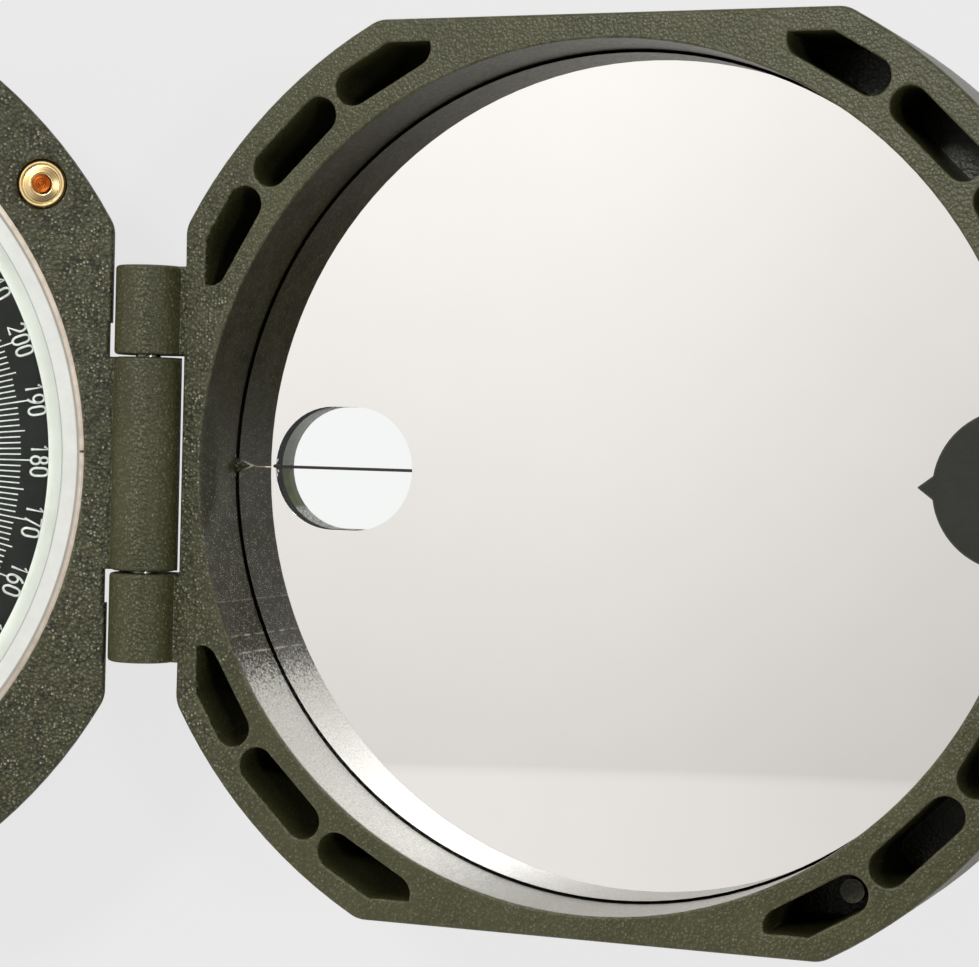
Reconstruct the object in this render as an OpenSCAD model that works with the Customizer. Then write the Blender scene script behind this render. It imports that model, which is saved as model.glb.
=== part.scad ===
// Mirror-sighting pocket compass: a die-cast case with a graduated ring, a
// clinometer and two levels under glass, and a hinged lid with a mirror.
// The origin is the centre of the back face. +X points at the lid hinge,
// +Y along the hinge pin and +Z out of the dial. The lid stands half open.

/* [Case] */
// Width of the case across the hinge flats
case_w = 69.4; // [64:0.1:76]
// Length of the case across the side flats
case_l = 69.8; // [64:0.1:76]
// How much wider the corner circle is than the mean of the two widths
corner_extra = 9.4; // [8.8:0.1:11.4]
// Rounding where a corner arc meets a flat
corner_round = 2.5; // [1:0.1:3]
// Height of the case
case_h = 20; // [19.8:0.1:23]
// How far the hinge side and the sight side lean in, from the rim to the back
side_lean = 2.8; // [1:0.1:3.2]
// How far the corners lean in, from the rim to the back
corner_lean = 1.8; // [1:0.1:2.2]
// Thickness of the case floor above the back recess
floor_t = 2.2; // [1.8:0.1:2.4]
// Depth of the round recess in the back
recess_h = 2.8; // [2.6:0.1:3]
// Play round the rear lever in the back recess
recess_play = 1.8; // [0.8:0.1:4]
// Radius of the tripod clamp's seats in the side flats
clamp_r = 1.75; // [1:0.05:2]
// Depth of the tripod clamp's seats
clamp_h = 2.6; // [1.5:0.1:3]

/* [Lid] */
// Height of the lid
lid_h = 13; // [12.4:0.1:15]
// Angle by which the open lid is raised above the dial plane
lid_raise = 21; // [0:1:90]
// Wall between the lid's cavity and the nearest flat
lid_wall = 1.7; // [1.5:0.1:2.1]
// Thickness of the mirror glass
mirror_t = 1.8; // [1.4:0.1:2.1]
// Thickness of the pad behind the mirror
pad_t = 2.08; // [1.6:0.02:2.4]
// Thickness of the lid's back
lid_web = 2.3; // [1.8:0.1:2.4]
// Length of the sighting window
window_l = 12; // [10.2:0.1:12.6]
// Width of the sighting window
window_w = 9.9; // [7:0.1:10]
// Distance from the cavity's wall to the window's centre
window_in = 9.5; // [9:0.1:11]
// Wall of the boss round the window
window_wall = 1.2; // [0.8:0.1:1.5]
// Depth of the flare at the back of the window
window_flare = 2.1; // [1.6:0.1:2.2]

/* [Lid pockets] */
// How far the circle of the pockets lies inside the corner circle
pocket_in = 3.5; // [3.3:0.1:3.6]
// Length of one pocket
pocket_l = 8.6; // [7:0.1:8.8]
// Width of one pocket
pocket_w = 2.9; // [2.4:0.1:3]
// Thickness of the lid under a pocket
pocket_floor = 2; // [1.8:0.1:7]
// Gap between neighbouring pockets
pocket_gap = 0.7; // [0.6:0.05:1]
// Wall left between a pocket and the nearest flat
pocket_wall = 1.8; // [1.4:0.1:2]

/* [Hinge] */
// Radius of the hinge knuckles
knuckle_r = 2.7; // [2.2:0.05:3.2]
// Gap between a knuckle and the flat that it turns past
knuckle_play = 0.3; // [0.2:0.05:0.6]
// Length of the middle knuckle
knuckle_mid = 17; // [12:0.1:18]
// Length of each outer knuckle
knuckle_end = 7.1; // [5:0.1:8]
// Radius of the hinge pin
hinge_pin_r = 1; // [0.7:0.05:1.3]

/* [Glass and dial] */
// Wall between the glass's seat and the nearest flat
case_wall = 2; // [1.9:0.05:2.1]
// Thickness of the dial glass
glass_t = 1.4; // [1.2:0.1:1.5]
// Height of the white gasket on the glass
gasket_h = 0.7; // [0.5:0.1:0.8]
// Width of the white gasket
gasket_w = 1.9; // [1.1:0.1:2.7]
// Height of the brass retaining ring
snap_h = 0.7; // [0.5:0.1:0.8]
// Width of the brass retaining ring
snap_w = 0.65; // [0.65:0.05:1.05]
// Width of the graduated ring's raised rim
rim_w = 2.5; // [2.1:0.1:2.9]
// Width of the black dial band
dial_w = 4.5; // [4.2:0.1:4.7]
// Depth of the dial band below the graduated ring's rim
dial_sink = 0.9; // [0.6:0.1:1]

/* [Clinometer] */
// Radius of the clinometer shaft
shaft_r = 2.95; // [2.5:0.05:3.2]
// Gap between the clinometer's scale plate and the dial band
plate_gap = 0.6; // [0.4:0.1:0.8]
// Thickness of the scale plate
plate_t = 0.6; // [0.4:0.1:0.7]
// Outer radius of the level tube's holder
level_r = 2.1; // [1.8:0.05:2.15]
// Length of the level tube's holder
level_l = 20; // [16:0.1:20.4]
// Distance from the shaft's axis to the level tube's axis
level_off = 6; // [5.6:0.1:6.2]
// Radius of the round level's cup
bull_r = 5; // [4:0.1:5.1]
// Gap between the round level and the dial band
bull_gap = 0.9; // [0.8:0.1:1.4]
// Length of the rear lever from its axis to its knob
finger_l = 13; // [10:0.1:14]

/* [Needle] */
// Gap between the needle's tips and the dial band
needle_gap = 0.9; // [0.5:0.1:4.9]
// Half width of the needle at its middle
needle_half_w = 2.4; // [2.2:0.1:2.8]
// Thickness of the needle
needle_t = 0.5; // [0.3:0.1:0.6]
// Angle at which the needle rests
needle_turn = 62; // [0:1:359]

/* [Needle lift] */
// Angle of the lift pin round the case
lift_angle = 37.5; // [35:0.5:40]
// How far the lift pin stands inside the corner circle
lift_in = 3.15; // [3:0.05:3.3]
// Radius of the lift pin
lift_pin_r = 0.72; // [0.5:0.02:0.8]
// Distance from the dial band to the lift lever's pivot
fulcrum_in = 4.9; // [4.4:0.1:5.4]

/* [Long sight] */
// Width of the long sight arm
arm_w = 8.4; // [7:0.1:9]
// Thickness of the long sight arm
arm_t = 1.2; // [0.9:0.1:1.4]
// Room past the folded long sight, up to the far ear's axis
arm_room = 13.6; // [9.6:0.5:23.6]
// Length of the folding tip from its hinge axis
tip_l = 11; // [8:0.1:12]
// Width of the slot in the long sight arm
arm_slot_w = 1.8; // [1:0.1:3]

/* [Short sight] */
// Radius of the short sight's round leaf
leaf_r = 5.9; // [5.2:0.1:6]
// Distance from the lid's flat to the leaf's centre
leaf_in = 3.7; // [3.5:0.1:4.7]
// Thickness of the leaf
leaf_t = 0.8; // [0.6:0.1:1]
// Distance from the leaf's centre to its point
leaf_point = 7; // [6.8:0.1:9]

/* [Hidden] */
$fn = 96;

// Overrun of every cut past the face that it opens
over = 0.5;
// Radial clearance of a fixed pin or seat
snug = 0.01;
// Radial clearance of a turning or sliding fit
run_fit = 0.05;
// Gap between two faces that turn or slide past each other
pass_gap = 0.1;
// Gap between the closed lid and the case
seat_gap = 0.2;
// Number of steps on one corner arc, and on one small rounding
arc_steps = 12;
round_steps = 5;

// Paint and metal colours
olive = "#55563f";
brass = "#c6a96c";
steel = "#b9bcbe";
copper = "#a34f1d";
black = "#1f201d";
white = "#e6eae4";
pale = "#abaca5";
spirit = "#b7c763";

// Corner circle, and half of the narrower width, which the round openings fit
corner_d = (case_w + case_l) / 2 + corner_extra;
flat_half = min(case_w, case_l) / 2;

// Upright rim of the case, the step under it, and how deep the hinges' roots reach in
rim_h = 1;
rim_step = 0.15;
root_lap = 1;

// Heights of what lies under the glass, from the back up
chamber_z = recess_h + floor_t;
snap_lip = 0.3;
snap_z = case_h - snap_lip - snap_h;
gasket_z = snap_z - gasket_h;
glass_z = gasket_z - glass_t;
ring_air = 0.5;
ring_top = glass_z - ring_air;
dial_z = ring_top - dial_sink;
flange_t = 1.8;
flange_z = ring_top - flange_t;
band_t = 1.3;
band_z = dial_z - band_t;

// Radii of the bores in the case, from the glass down
glass_seat_r = flat_half - case_wall;
glass_ledge = 0.8;
ring_bore_r = glass_seat_r - glass_ledge;
ring_ledge = 0.9;
chamber_r = ring_bore_r - ring_ledge;
snap_groove = 0.3;
snap_slot_w = 0.2;
snap_slot_angle = 1.5;
snap_out_r = glass_seat_r + snap_groove - run_fit;
snap_in_r = snap_out_r - snap_w;
gasket_in_r = glass_seat_r - gasket_w;
dial_out_r = ring_bore_r - rim_w;
dial_in_r = dial_out_r - dial_w;

// Gear teeth under the graduated ring, and the pinion that turns it
ring_teeth = 90;
pinion_teeth = 6;
tooth_h = 1;
tooth_l = 2.4;
tooth_edge = 0.2;
tooth_dip = 0.5;
tooth_rise = 0.33;
tooth_gap_share = 0.63;
pinion_fin_share = 0.29;
band_out_r = chamber_r - pass_gap;
tooth_out_r = band_out_r - tooth_edge;
tooth_mid_r = tooth_out_r - tooth_l / 2;
tooth_pitch = 2 * PI * tooth_mid_r / ring_teeth;
tooth_z = band_z - tooth_h;
pinion_pitch_r = tooth_mid_r * pinion_teeth / ring_teeth;
pinion_tip_r = pinion_pitch_r + tooth_rise;
pinion_z = tooth_z + tooth_dip - pinion_tip_r;
pinion_core_r = 0.9;
pinion_shaft_r = 1.2;
pinion_head_sink = 0.4;
pinion_slot_w = 0.4;
pinion_slot_h = 0.5;

// Tripod clamp seats
clamp_z = 6.5;

// Clinometer shaft, arm and vernier
plate_hole_gap = 0.5;
flange_r = 6;
shaft_flange_t = 0.9;
spigot_r = 2;
arm_plate_t = 0.8;
arm_bar_w = 5;
arm_foot_x = 6;
arm_foot_w = 2.4;
arm_side = 1.6;
vernier_edge = 0.8;
vernier_w = 6.5;
vernier_half_angle = 14;
vernier_t = 0.5;
vernier_lap = 3;
plate_r = dial_in_r - plate_gap;
vernier_out_r = plate_r - vernier_edge;
vernier_in_r = vernier_out_r - vernier_w;
arm_reach = vernier_in_r + vernier_lap;
shaft_flange_z = chamber_z + pass_gap;
arm_z = shaft_flange_z + shaft_flange_t;
arm_top = arm_z + arm_plate_t;
plate_top = chamber_z + plate_t;
plate_hole_r = flange_r + plate_hole_gap;

// Level tube on the clinometer arm
level_lift = 0.1;
holder_wall = 0.35;
vial_wall = 0.35;
vial_end = 0.7;
holder_lip = 0.6;
view_l = 12;
view_drop = 0.6;
bubble_r = 0.75;
bubble_l = 4;
level_z = arm_top + level_r + level_lift;
vial_r = level_r - holder_wall - snug;
spirit_r = vial_r - vial_wall;
vial_l = level_l - 2 * holder_lip;
spirit_l = vial_l - 2 * vial_end;

// Rear lever, washer and screw
washer_t = 0.4;
washer_r = 3.6;
lever_t = 1.3;
lever_hub_r = 4;
lever_bar_w = 3;
lever_knob_r = 2.2;
screw_head_t = 0.5;
screw_head_r = 2;
screw_shank_r = 1;
screw_grip = 2;
screw_slot_w = 0.5;
screw_slot_h = 0.25;
washer_z = recess_h - pass_gap - washer_t;
lever_z = washer_z - lever_t;
screw_z = lever_z - screw_head_t;
screw_l = screw_head_t + lever_t + washer_t + screw_grip;
recess_r = finger_l + lever_knob_r + recess_play;

// Round level
bull_h = 7.3;
bull_wall = 0.7;
bull_base = 1.9;
bull_glass_t = 1;
bull_bubble_r = 1.3;
bull_bubble_h = 0.5;
bull_top = plate_top + bull_h;
bull_bore_r = bull_r - bull_wall;
bull_off = dial_in_r - bull_r - bull_gap;

// Screws that hold the scale plate
plate_screw_in = 1.7;
plate_screw_r = plate_r - plate_screw_in;
plate_screw_angles = [140, 220, 320];
small_head_r = 1.1;
small_head_t = 0.25;
small_shank_r = 0.5;
small_shank_l = 1.4;
small_slot_w = 0.3;
small_slot_h = 0.12;

// Pivot post, jewel, cap and weight
post_r = 0.8;
post_cone_h = 1.7;
post_set = 1;
tip_play = 0.05;
cap_skirt_h = 1.9;
cap_boss_r = 1.6;
cap_boss_h = 1.5;
cap_roof = 0.7;
jewel_r = 1.1;
jewel_h = 0.6;
jewel_dent_r = 0.5;
jewel_dent_h = 0.4;
weight_in = 11;
needle_reach = dial_in_r - needle_gap;
weight_off = needle_reach - weight_in;
weight_l = 1.6;
weight_wall = 0.45;
needle_air = 1;

// Needle lift: lever, bracket, pin, bush and spring
lift_lever_t = 0.8;
lift_lever_w = 2.4;
lift_ring_r = 2.5;
lift_hole_r = 1.2;
lift_end_r = 1.2;
lift_play = 0.1;
lift_foot_r = 1.15;
lift_foot_h = 0.9;
lift_slot_w = 3.4;
lift_slot_under = 0.6;
lift_slot_h = 3.2;
lift_slot_end = 1.7;
lift_bore_r = lift_pin_r + run_fit;
bracket_half_u = 1.6;
bracket_half_v = 3;
bracket_above = 0.9;
bracket_pin_r = 0.4;
bracket_base = 1.4;
bush_flange_r = 1.9;
bush_flange_h = 0.9;
bush_r = 1.3;
bush_sink = 0.2;
bush_seat_gap = 0.1;
spring_r = 1;
spring_wire_r = 0.15;
spring_turns = 5;
spring_steps = 10;
spring_sides = 6;
spring_pocket_r = 1.5;
spring_pocket_h = 3.6;
lift_lever_top = glass_z - needle_air - cap_boss_h - cap_skirt_h - lift_play;
lift_lever_z = lift_lever_top - lift_lever_t;
lift_axis_z = lift_lever_z + lift_lever_t / 2;
lift_slot_z = lift_lever_z - lift_slot_under;
lift_slot_top = lift_slot_z + lift_slot_h;
spring_z = lift_slot_z - spring_pocket_h;
bush_top = case_h - bush_sink;
lift_pin_top = case_h + seat_gap / 2;
lift_off = corner_d / 2 - lift_in;
fulcrum_off = dial_in_r - fulcrum_in;

// Heights of the cap, the jewel and the post's point
cap_z = lift_lever_top + lift_play;
blade_z = cap_z + cap_skirt_h;
cap_top = blade_z + cap_boss_h;
jewel_top = cap_top - cap_roof - tip_play;
jewel_z = jewel_top - jewel_h;
post_top = jewel_z + jewel_dent_h - tip_play;
post_z = arm_z - post_set;

// Lid hinge
hinge_gap = knuckle_r + knuckle_play;
hinge_x = case_w / 2 + hinge_gap;
hinge_z = case_h + seat_gap / 2;
knuckle_gap = 0.18;
relief_l = 11.2;
relief_h = 0.2;
hinge_half = knuckle_mid / 2 + knuckle_gap + knuckle_end;

// Mirror and window in the lid, from the rim down
mirror_edge_gap = 0.23;
silver_t = 0.12;
ledge_w = 3;
pad_gap = 0.2;
line_w = 0.24;
line_t = 0.1;
tab_w = 1.6;
tab_l = 1.7;
tab_t = 0.3;
boss_pin_r = 0.95;
boss_pin_turn = 3.1;
boss_pin_drop = 4.5;
mirror_sink = lid_h - lid_web - pad_t - mirror_t - silver_t;
cavity_r = flat_half - lid_wall;
mirror_r = cavity_r - mirror_edge_gap;
window_off = cavity_r - window_in;
glass_face = -mirror_sink - silver_t;
ledge_face = glass_face - mirror_t;
hollow_r = cavity_r - ledge_w;
hollow_face = lid_web - lid_h;

// Pockets in the lid's corners
pocket_h = lid_h - pocket_floor;
pocket_r = corner_d / 2 - pocket_in;
pocket_step = 360 * (pocket_l + pocket_gap) / (2 * PI * pocket_r);
corner_angle = atan(case_l / case_w);
boss_pin_angle = boss_pin_turn - corner_angle - pocket_step;

// Long sight and its folding tip
sight_gap = 2.6;
sight_sink = 1.8;
sight_fold_gap = 0.2;
sight_barrel_r = 2.1;
sight_ear_r = 2.4;
sight_ear_w = 2.8;
sight_side_gap = 0.15;
sight_pin_r = 0.8;
sight_web_back = 1.2;
arm_slot_start = 8;
arm_slot_end = 6;
tip_barrel_r = 1.1;
tip_ear_w = 1.5;
tip_neck = 1.4;
tip_t = 0.9;
tip_pin_r = 0.45;
peep_r = 0.75;
peep_off = 6.5;
tip_nose = 2.4;
tip_nose_w = 2.6;
sight_x = case_w / 2 + sight_gap;
arm_l = 2 * sight_x - tip_l - arm_room;
sight_z = case_h - sight_sink;
arm_drop = case_h + sight_fold_gap - sight_z;
tip_half_w = arm_w / 2 - tip_ear_w - sight_side_gap;

// Short sight on the lid's far edge
leaf_gap = 2;
leaf_sink = 3.4;
leaf_barrel_r = 1.4;
leaf_neck_w = 5.8;
leaf_ear_w = 2.2;
leaf_ear_r = 1.5;
leaf_ear_h = 3;
leaf_pin_r = 0.5;
leaf_edge_gap = 0.3;
leaf_point_w = 2.4;
notch_side = 0.4;
notch_under = 0.6;
leaf_x = case_w / 2 + leaf_gap;
leaf_off = case_w / 2 - leaf_in;
leaf_tip = leaf_off - leaf_point;
notch_h = leaf_sink + leaf_t / 2 + notch_under;

// Points on an arc, from one angle to another
function arc(c, r, from, to, n) =
    [for (i = [0:n]) let (a = from + (to - from) * i / n) c + r * [cos(a), sin(a)]];
function flip(points, sx, sy) =
    [for (i = [len(points) - 1:-1:0]) [points[i][0] * sx, points[i][1] * sy]];
function turn_half(points) = [for (p = points) -p];

// One quarter of the outline: two small roundings and the corner arc between
function quarter_outline() =
    let (big = corner_d / 2, far = big - corner_round)
    let (cx = case_w / 2 - corner_round, cy = case_l / 2 - corner_round)
    let (low = [cx, sqrt(far * far - cx * cx)], high = [sqrt(far * far - cy * cy), cy])
    let (a = atan2(low[1], low[0]), b = atan2(high[1], high[0]))
    concat(arc(low, corner_round, 0, a, round_steps), arc([0, 0], big, a, b, arc_steps),
        arc(high, corner_round, b, 90, round_steps));

// Outline that the case and the lid share
module outline() {
    q = quarter_outline();
    polygon(concat(q, flip(q, -1, 1), turn_half(q), flip(q, 1, -1)));
}

// Oblong with round ends, lying along X
module oblong(l, w) {
    square([l - w, w], center = true);
    for (side = [-1, 1]) translate([side * (l - w) / 2, 0]) circle(w / 2);
}

// Flat ring standing on a height
module ring(r_out, r_in, z, h) {
    translate([0, 0, z]) difference() {
        cylinder(r = r_out, h = h);
        translate([0, 0, -over]) cylinder(r = r_in, h = h + 2 * over);
    }
}

// Cylinder along Y with its middle at the origin
module rod_y(r, l) rotate([90, 0, 0]) cylinder(r = r, h = l, center = true);

// Places in the assembly
module at_hinge() translate([hinge_x, 0, hinge_z]) children();
module at_lift() rotate([0, 0, lift_angle]) children();
module at_bull() translate([0, bull_off, 0]) children();
module at_sight() translate([-sight_x, 0, sight_z]) children();
module at_level() translate([0, -level_off, level_z]) rotate([0, 90, 0]) children();
module at_leaf() translate([leaf_x, 0, -leaf_sink]) children();

// The lid's own frame: its centre on the rim face, +X away from the hinge
module lid_frame() {
    at_hinge() rotate([0, -lid_raise, 0]) translate([hinge_x, 0, -seat_gap / 2]) children();
}

// Bores of the case that take the glass, the ring and the clinometer
module case_bores() {
    translate([0, 0, chamber_z]) cylinder(r = chamber_r, h = case_h);
    translate([0, 0, flange_z - pass_gap]) cylinder(r = ring_bore_r, h = case_h);
    translate([0, 0, glass_z]) cylinder(r = glass_seat_r, h = case_h);
    translate([0, 0, snap_z]) cylinder(r = glass_seat_r + snap_groove, h = snap_h);
    translate([0, 0, -over]) cylinder(r = recess_r, h = recess_h + over);
    translate([0, 0, -over]) cylinder(r = shaft_r + run_fit, h = chamber_z + 2 * over);
    for (a = plate_screw_angles) rotate([0, 0, a]) translate([plate_screw_r, 0, 0])
        translate([0, 0, plate_top - small_shank_l - pass_gap])
            cylinder(r = small_shank_r + snug, h = case_h);
}

// Passages of the needle lift through the corner of the case
module case_lift_cuts() {
    slot_l = lift_off + lift_slot_end - chamber_r + over;
    at_lift() translate([lift_off, 0, 0]) {
        translate([0, 0, bush_top - bush_flange_h])
            cylinder(r = bush_flange_r + bush_seat_gap, h = case_h);
        translate([0, 0, lift_slot_z]) cylinder(r = bush_r + snug, h = case_h);
        translate([0, 0, spring_z]) cylinder(r = spring_pocket_r, h = spring_pocket_h + over);
    }
    at_lift() translate([chamber_r - over, -lift_slot_w / 2, lift_slot_z])
        cube([slot_l, lift_slot_w, lift_slot_h]);
}

// Middle knuckle of the lid hinge and the root that carries it
module case_knuckle() {
    at_hinge() rod_y(knuckle_r, knuckle_mid);
    translate([case_w / 2 - root_lap, -knuckle_mid / 2, hinge_z - knuckle_r])
        cube([hinge_gap + root_lap, knuckle_mid, knuckle_r - seat_gap / 2]);
}

// Two ears that carry the long sight
module case_sight_ears() {
    first = arm_w / 2 + sight_side_gap;
    for (side = [-1, 1]) at_sight() translate([0, side * (first + sight_ear_w / 2), 0]) {
        rod_y(sight_ear_r, sight_ear_w);
        translate([0, -sight_ear_w / 2, -sight_ear_r])
            cube([sight_gap + root_lap, sight_ear_w, sight_ear_r]);
    }
}

// Outside of the case: an upright rim, and sides that lean in below it
module case_sides() {
    skirt_h = case_h - rim_h;
    lean_h = skirt_h + over;
    high = case_w / 2 - rim_step;
    low = high - side_lean;
    r = corner_d / 2 - rim_step;
    translate([0, 0, skirt_h]) linear_extrude(rim_h) outline();
    intersection() {
        cylinder(r1 = r - corner_lean, r2 = r, h = lean_h);
        rotate([90, 0, 0]) linear_extrude(case_l, center = true)
            polygon([[-low, 0], [low, 0], [high, lean_h], [-high, lean_h]]);
    }
}

module case_body() {
    color(olive) difference() {
        union() {
            difference() {
                case_sides();
                for (side = [-1, 1]) translate([case_w / 2 - relief_h, side * relief_l / 2, 0])
                    translate([0, -relief_l / 2, -over]) cube([2 * over, relief_l, case_h + 2 * over]);
            }
            case_knuckle();
            case_sight_ears();
        }
        case_bores();
        case_lift_cuts();
        at_hinge() rod_y(hinge_pin_r + snug, case_l);
        at_sight() rod_y(sight_pin_r + snug, case_l);
        translate([0, -case_l / 2, pinion_z]) rod_y(pinion_shaft_r + run_fit, case_l - chamber_r);
        for (side = [-1, 1]) translate([0, side * (case_l / 2 - clamp_h / 2 + over / 2), clamp_z])
            rod_y(clamp_r, clamp_h + over);
    }
}

module hinge_pin() {
    color(steel) at_hinge() rod_y(hinge_pin_r, 2 * hinge_half - knuckle_gap);
}

module crystal() {
    color("lightcyan", 0.35) translate([0, 0, glass_z])
        cylinder(r = glass_seat_r - run_fit, h = glass_t);
}

module crystal_gasket() {
    color(white) ring(glass_seat_r - snug, gasket_in_r, gasket_z, gasket_h);
}

module snap_ring() {
    color(brass) difference() {
        ring(snap_out_r, snap_in_r, snap_z, snap_h - snug);
        rotate([0, 0, snap_slot_angle]) translate([gasket_in_r, -snap_slot_w / 2, snap_z - over])
            cube([snap_out_r, snap_slot_w, snap_h + 2 * over]);
    }
}

// Crown of teeth under the graduated ring
module ring_crown() {
    w = tooth_pitch * tooth_gap_share;
    step = 360 / ring_teeth;
    translate([0, 0, tooth_z]) linear_extrude(tooth_h + tooth_edge) difference() {
        circle(tooth_out_r);
        circle(tooth_out_r - tooth_l);
        for (i = [0:ring_teeth - 1]) rotate((i + 0.5) * step)
            translate([tooth_out_r - tooth_l - over, -w / 2]) square([tooth_l + 2 * over, w]);
    }
}

module azimuth_ring() {
    color(pale) union() {
        ring(band_out_r, dial_in_r, band_z, dial_z - band_z);
        ring(ring_bore_r - run_fit, dial_out_r, flange_z, flange_t);
        ring_crown();
    }
}

module ring_pinion() {
    fin_in = tooth_out_r - tooth_l;
    fin_l = tooth_l - tooth_edge;
    fin_w = tooth_pitch * pinion_fin_share;
    head = case_l / 2 - pinion_head_sink;
    color(brass) translate([0, 0, pinion_z]) rotate([90, 0, 0]) difference() {
        union() {
            translate([0, 0, fin_in]) cylinder(r = pinion_core_r, h = tooth_l + tooth_edge);
            translate([0, 0, tooth_out_r + pass_gap])
                cylinder(r = pinion_shaft_r, h = head - tooth_out_r - pass_gap);
            for (i = [0:pinion_teeth - 1]) rotate([0, 0, 90 + i * 360 / pinion_teeth])
                translate([0, -fin_w / 2, fin_in]) cube([pinion_tip_r, fin_w, fin_l]);
        }
        translate([-case_l / 2, -pinion_slot_w / 2, head - pinion_slot_h])
            cube([case_l, pinion_slot_w, pinion_slot_h + over]);
    }
}

module clinometer_plate() {
    color(pale) difference() {
        ring(plate_r, plate_hole_r, chamber_z, plate_t);
        for (a = plate_screw_angles) rotate([0, 0, a]) translate([plate_screw_r, 0, 0])
            cylinder(r = small_shank_r + snug, h = case_h);
    }
}

module plate_screws() {
    shank_l = small_shank_l + small_head_t;
    for (a = plate_screw_angles) color(brass) rotate([0, 0, a])
        translate([plate_screw_r, 0, plate_top]) difference() {
            union() {
                cylinder(r = small_head_r, h = small_head_t);
                translate([0, 0, -small_shank_l]) cylinder(r = small_shank_r, h = shank_l);
            }
            translate([-small_head_r - over, -small_slot_w / 2, small_head_t - small_slot_h])
                cube([2 * (small_head_r + over), small_slot_w, small_slot_h + over]);
        }
}

module clinometer_shaft() {
    color(brass) difference() {
        union() {
            translate([0, 0, washer_z + washer_t]) cylinder(r = shaft_r, h = arm_z - washer_z - washer_t);
            translate([0, 0, shaft_flange_z]) cylinder(r = flange_r, h = shaft_flange_t);
            translate([0, 0, arm_z - snug]) cylinder(r = spigot_r, h = arm_plate_t + snug);
        }
        translate([0, 0, post_z]) cylinder(r = post_r + snug, h = case_h);
        translate([0, 0, -over])
            cylinder(r = screw_shank_r + snug, h = screw_z + screw_l + pass_gap + over);
    }
}

// Flat plate that turns with the shaft and carries the level and the vernier
module vernier_arm() {
    side_y = level_off + level_r;
    color(brass) difference() {
        translate([0, 0, arm_z]) union() {
            cylinder(r = flange_r, h = arm_plate_t);
            translate([-arm_bar_w / 2, -arm_reach, 0]) cube([arm_bar_w, arm_reach, arm_plate_t]);
            translate([-arm_foot_x - arm_side, -side_y, 0])
                cube([2 * (arm_foot_x + arm_side), 2 * level_r, arm_plate_t]);
        }
        translate([0, 0, arm_z - over]) cylinder(r = spigot_r + snug, h = arm_plate_t + 2 * over);
    }
}

module vernier_plate() {
    color(pale) rotate([0, 0, -90 - vernier_half_angle])
        rotate_extrude(angle = 2 * vernier_half_angle)
            translate([vernier_in_r, arm_top]) square([vernier_out_r - vernier_in_r, vernier_t]);
}

module level_holder() {
    color(brass) difference() {
        union() {
            at_level() cylinder(r = level_r, h = level_l, center = true);
            for (side = [-1, 1]) translate([side * arm_foot_x, -level_off, arm_top])
                translate([-arm_foot_w / 2, -level_r / 2, 0]) cube([arm_foot_w, level_r, level_r]);
        }
        at_level() cylinder(r = level_r - holder_wall, h = level_l + 2 * over, center = true);
        translate([-view_l / 2, -level_off - level_r, level_z + view_drop])
            cube([view_l, 2 * level_r, level_r]);
    }
}

module level_vial() {
    color("lightcyan", 0.35) at_level() difference() {
        cylinder(r = vial_r, h = vial_l, center = true);
        cylinder(r = spirit_r, h = spirit_l, center = true);
    }
}

module level_spirit() {
    color(spirit) at_level() difference() {
        cylinder(r = spirit_r - snug, h = spirit_l - 2 * snug, center = true);
        translate([-spirit_r, 0, 0]) cylinder(r = bubble_r, h = bubble_l, center = true);
    }
}

module rear_lever() {
    color(black) difference() {
        union() {
            translate([0, 0, lever_z]) cylinder(r = lever_hub_r, h = lever_t);
            translate([-lever_bar_w / 2, -finger_l, lever_z]) cube([lever_bar_w, finger_l, lever_t]);
            translate([0, -finger_l, screw_z]) cylinder(r = lever_knob_r, h = lever_t + screw_head_t);
        }
        translate([0, 0, lever_z - over]) cylinder(r = screw_shank_r + snug, h = lever_t + 2 * over);
    }
}

module lever_washer() {
    color(steel) ring(washer_r, screw_shank_r + snug, washer_z, washer_t);
}

module lever_screw() {
    color(steel) difference() {
        translate([0, 0, screw_z]) union() {
            cylinder(r = screw_head_r, h = screw_head_t);
            cylinder(r = screw_shank_r, h = screw_l);
        }
        translate([-screw_head_r - over, -screw_slot_w / 2, screw_z - over])
            cube([2 * (screw_head_r + over), screw_slot_w, screw_slot_h + over]);
    }
}

module round_level_cup() {
    color(brass) at_bull() difference() {
        translate([0, 0, plate_top]) cylinder(r = bull_r, h = bull_h);
        translate([0, 0, plate_top + bull_base]) cylinder(r = bull_bore_r, h = bull_h);
    }
}

module round_level_glass() {
    color("lightcyan", 0.35) at_bull() translate([0, 0, bull_top - bull_glass_t])
        cylinder(r = bull_bore_r - snug, h = bull_glass_t);
}

module round_level_spirit() {
    h = bull_h - bull_base - bull_glass_t;
    color(spirit) at_bull() difference() {
        translate([0, 0, plate_top + bull_base]) cylinder(r = bull_bore_r - snug, h = h);
        translate([0, 0, bull_top - bull_glass_t - bull_bubble_h]) cylinder(r = bull_bubble_r, h = bull_h);
    }
}

module pivot_post() {
    color(steel) {
        translate([0, 0, post_z]) cylinder(r = post_r, h = post_top - post_cone_h - post_z);
        translate([0, 0, post_top - post_cone_h]) cylinder(r1 = post_r, r2 = 0, h = post_cone_h);
    }
}

module needle_jewel() {
    color("firebrick") difference() {
        translate([0, 0, jewel_z]) cylinder(r = jewel_r, h = jewel_h);
        translate([0, 0, jewel_z]) cylinder(r1 = jewel_dent_r, r2 = 0, h = jewel_dent_h);
    }
}

module needle_cap() {
    color(brass) difference() {
        translate([0, 0, cap_z]) union() {
            cylinder(r = needle_half_w, h = cap_skirt_h);
            cylinder(r = cap_boss_r, h = cap_top - cap_z);
        }
        translate([0, 0, cap_z - over])
            cylinder(r = jewel_r + run_fit, h = jewel_top + tip_play - cap_z + over);
    }
}

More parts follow.
